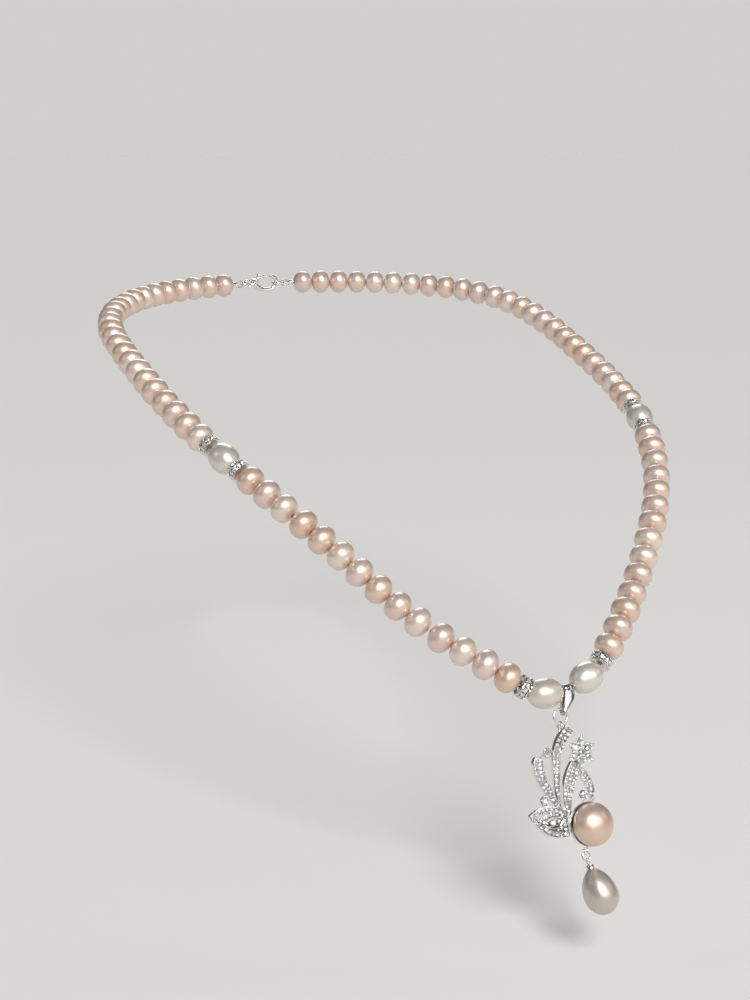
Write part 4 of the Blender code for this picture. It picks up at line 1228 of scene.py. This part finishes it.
clasp = {
    "eye": (-4.55, 0, 0), "eyeMajor": 0.95, "eyeMinor": 0.38, "pivot": (-2.1, 0.95, 0), "ringMinor": 0.3,
    "hook": (  # along, up, out, radius
        (-3.5, 0, 0, 0.42), (-2.8, -0.35, 0, 0.75), (-1.9, -0.95, 0, 0.8), (-0.2, -1.75, 0, 0.72),
        (1.9, -2.0, 0, 0.63), (3.7, -1.4, 0, 0.6), (4.6, -0.1, 0, 0.6), (4.3, 1.2, 0, 0.58),
        (3.3, 1.95, 0, 0.5), (2.7, 2.08, 0, 0.4),
    ),
    "shoulder": ((-2.85, 0.45, 0), (-2.55, -0.1, 0), (-2.0, -0.6, 0)),
    "shoulderRadii": (0.45, 0.6, 0.7, 0.75, 0.8, 0.82, 0.82, 0.8, 0.76, 0.7),
    "cheek": ((0.3, -0.2), (0.78, -0.2), (0.86, -0.1), (0.86, 0.1), (0.76, 0.2), (0.3, 0.2)),
    "lever": (
        (-2.1, 0.95, 0, 0.42), (-1.5, 1.35, 0, 0.42), (-0.4, 1.85, 0, 0.42), (0.9, 2.15, 0, 0.4),
        (2.12, 2.15, 0, 0.34),
    ),
    "leverTab": ((-1.45, 1.7, 0, 0.3), (-1.2, 2.2, 0, 0.34), (-0.95, 2.62, 0, 0.36), (-0.6, 2.72, 0, 0.28)),
    "leverHub": ((0.3, -0.38), (0.5, -0.38), (0.56, -0.3), (0.56, 0.3), (0.5, 0.38), (0.3, 0.38)),
    "pin": (
        (0.01, 0.98), (0.16, 0.97), (0.24, 0.9), (0.25, 0.8), (0.25, -0.8), (0.24, -0.9), (0.16, -0.97),
        (0.01, -0.98),
    ),
}
nape = placing(onStrand(strandLength / 2), (1, 0, 0), (0, 0, 1))
napeOut = nape.to_3x3() @ Vector((0, 0, 1))


def atNape(points):
    return [nape @ Vector(p) for p in points]


def claspRod(mould, stations, count, sides, flat):  # a rod whose radius changes on the way
    line = eased(stations, count)
    mould.tube(atNape([p[:3] for p in line]), [float(p[3]) for p in line], sides, flat, napeOut)


pivotLie = nape @ Matrix.Translation(clasp["pivot"])
claw = Mould()
claspRod(claw, clasp["hook"], 72, 20, 1.1)
claw.ring(nape @ Matrix.Translation(clasp["eye"]), clasp["eyeMajor"], clasp["eyeMinor"], 48, 14)
for side in (1, -1):  # the two cheeks that hold the pin
    cheek = nape @ Matrix.Translation(Vector(clasp["pivot"]) + Vector((-0.05, -0.1, side * 0.72)))
    claw.turn(clasp["cheek"], 32, cheek, closed=True)
shoulder = atNape(eased(clasp["shoulder"], len(clasp["shoulderRadii"])))
claw.tube(shoulder, clasp["shoulderRadii"], 16, 1.15, napeOut)
silverPiece(claw, "clasp_claw_body", "nape_strand", "clasp_claw", smooth=50)

lever = Mould()
claspRod(lever, clasp["lever"], 40, 16, 0.95)
lever.turn(clasp["leverHub"], 28, pivotLie, closed=True)
claspRod(lever, clasp["leverTab"], 16, 16, 1.2)
silverPiece(lever, "clasp_lever_arm", "clasp_lever", "clasp_lever", smooth=50)

pin = Mould()
pin.turn(clasp["pin"], 24, pivotLie)
silverPiece(pin, "clasp_pivot_pin", "nape_strand", "clasp_pin", smooth=50)


def loopMiddle(sign):  # middle of the wire loop past the crimp
    return napeFrame(crimpStart, sign) @ Vector((wire["crimpLength"] + wire["loopReach"], 0, 0))


intoLoop = Vector((0.3, 0, 0))
tailNear = nape @ (Vector(clasp["eye"]) + Vector((-0.1, 0, 0)))
catchNear = nape @ Vector((3.55, 0, 0))
for name, near, far, minor, gap in (
    ("tail", tailNear, loopMiddle(-1) + intoLoop, clasp["ringMinor"], 0.05),
    ("catch", catchNear, loopMiddle(1) - intoLoop, clasp["ringMinor"] + 0.05, 0.0),
):
    body = f"clasp_{name}_ring"
    lie = placing((near + far) / 2, far - near, Vector((0, -1, 0)))
    hoop = Mould()
    hoop.ring(lie @ Matrix.Rotation(1.3, 4, "Z"), (near - far).length / 2, minor, 48, 14, gap=gap)
    silverPiece(hoop, f"{body}_wire", body, body, smooth=50)
print("clasp closed")


# floor, light and camera

stage = {
    "floorDrop": 0.012, "floorRings": (0.4, 1.5, 8.0, 60.0), "floorSteps": 96,
    "floorColour": (0.80, 0.79, 0.775), "around": (0.7, 0.74, 0.8), "fill": 0.16,
    "backdrop": (0.638, 0.624, 0.604),
}
low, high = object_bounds()
floorZ = low.z - stage["floorDrop"]
floorSteps = stage["floorSteps"]
floorMesh = bpy.data.meshes.new("studio_floor")
rings = [circleOf(Matrix.Identity(4), radius, 0, floorSteps) for radius in stage["floorRings"]]
points = [p for ring in rings for p in ring]
faces = [tuple(range(floorSteps))]
for k in range(len(rings) - 1):
    inner, outer = k * floorSteps, (k + 1) * floorSteps
    for i in range(floorSteps):
        j = (i + 1) % floorSteps
        faces.append((inner + i, inner + j, outer + j, outer + i))
floorMesh.from_pydata(points, [], faces)
floor = bpy.data.objects.new("studio_floor", floorMesh)
scene.collection.objects.link(floor)
floor.location.z = floorZ
paint, tree, shader = startMaterial("floor paint")
place = tree.nodes.new("ShaderNodeTexCoord")
mottle = addNode(tree, "ShaderNodeTexNoise", Scale=9.0, Detail=4.0)
tree.links.new(place.outputs["Object"], mottle.inputs["Vector"])
tree.links.new(spread(tree, mottle.outputs["Fac"], 0.7, 0.85), shader.inputs["Roughness"])
setShader(shader, {"Base Color": (*stage["floorColour"], 1), "Specular IOR Level": 0.0})
floorMesh.materials.append(paint)

world = bpy.data.worlds.new("studio")
scene.world = world
world.use_nodes = True
tree = world.node_tree
background = tree.nodes["Background"]
background.inputs["Color"].default_value = (*stage["around"], 1)
background.inputs["Strength"].default_value = stage["fill"]
backdrop = addNode(tree, "ShaderNodeBackground", Strength=1.0)
backdrop.inputs["Color"].default_value = (*stage["backdrop"], 1)
seen = tree.nodes.new("ShaderNodeLightPath")
either = tree.nodes.new("ShaderNodeMixShader")
tree.links.new(seen.outputs["Is Camera Ray"], either.inputs["Fac"])
tree.links.new(background.outputs[0], either.inputs[1])
tree.links.new(backdrop.outputs[0], either.inputs[2])
tree.links.new(either.outputs[0], tree.nodes["World Output"].inputs["Surface"])


def addLight(name, kind, comesFrom, power, colour):  # a lamp whose light comes from the given side
    lamp = bpy.data.lights.new(name, kind)
    lamp.energy = power
    lamp.color = colour
    holder = bpy.data.objects.new(name, lamp)
    scene.collection.objects.link(holder)
    holder.rotation_mode = "QUATERNION"
    holder.rotation_quaternion = (-Vector(comesFrom)).to_track_quat("-Z", "Y")
    return lamp, holder


suns = (
    ("key light", (-0.15, -0.75, 0.62), 2.9, 24, (1.0, 0.975, 0.94)),
    ("back light", (0.35, 0.8, 0.45), 0.7, 30, (0.96, 0.98, 1.0)),
)
for name, comesFrom, power, discAngle, colour in suns:
    lamp, holder = addLight(name, "SUN", comesFrom, power, colour)
    lamp.angle = math.radians(discAngle)

softboxes = (  # name, place, width, height, power, beam angle, colour
    ("front softbox", (0.26, -0.67, 0.24), 0.42, 0.42, 0.18, 80, (1.0, 0.98, 0.96)),
    ("right strip", (0.6, -0.35, 0.26), 0.09, 0.3, 0.22, 180, (1.0, 0.97, 0.94)),
    ("left strip", (-0.65, 0.05, 0.34), 0.09, 0.3, 0.22, 180, (0.97, 0.98, 1.0)),
)
aim = Vector((0, -0.04, -0.05))
for name, spot, width, height, power, beam, colour in softboxes:
    lamp, holder = addLight(name, "AREA", Vector(spot) - aim, power, colour)
    lamp.shape = "RECTANGLE"
    lamp.size, lamp.size_y = width, height
    lamp.spread = math.radians(beam)
    holder.location = spot

shot = {"place": (-180.3, -381.8, 39.9), "azimuth": -25.52, "elevation": 12.38, "roll": -0.53, "lens": 57.47}
lens = bpy.data.cameras.new("shot")
lens.lens = shot["lens"]
lens.sensor_width = 36.0
lens.clip_start, lens.clip_end = 0.01, 200.0
camera = bpy.data.objects.new("shot", lens)
scene.collection.objects.link(camera)
a, e, r = (math.radians(shot[k]) for k in ("azimuth", "elevation", "roll"))
back = Vector((math.sin(a) * math.cos(e), -math.cos(a) * math.cos(e), math.sin(e)))
right = Vector((0, 0, 1)).cross(back).normalized()
up = back.cross(right)
right, up = right * math.cos(r) + up * math.sin(r), up * math.cos(r) - right * math.sin(r)
turn = Matrix((right, up, back)).transposed().to_4x4()
camera.matrix_world = Matrix.Translation(Vector(shot["place"]) * mm) @ turn
scene.camera = camera
scene.view_settings.view_transform = "Standard"
print("stage, light and camera set")
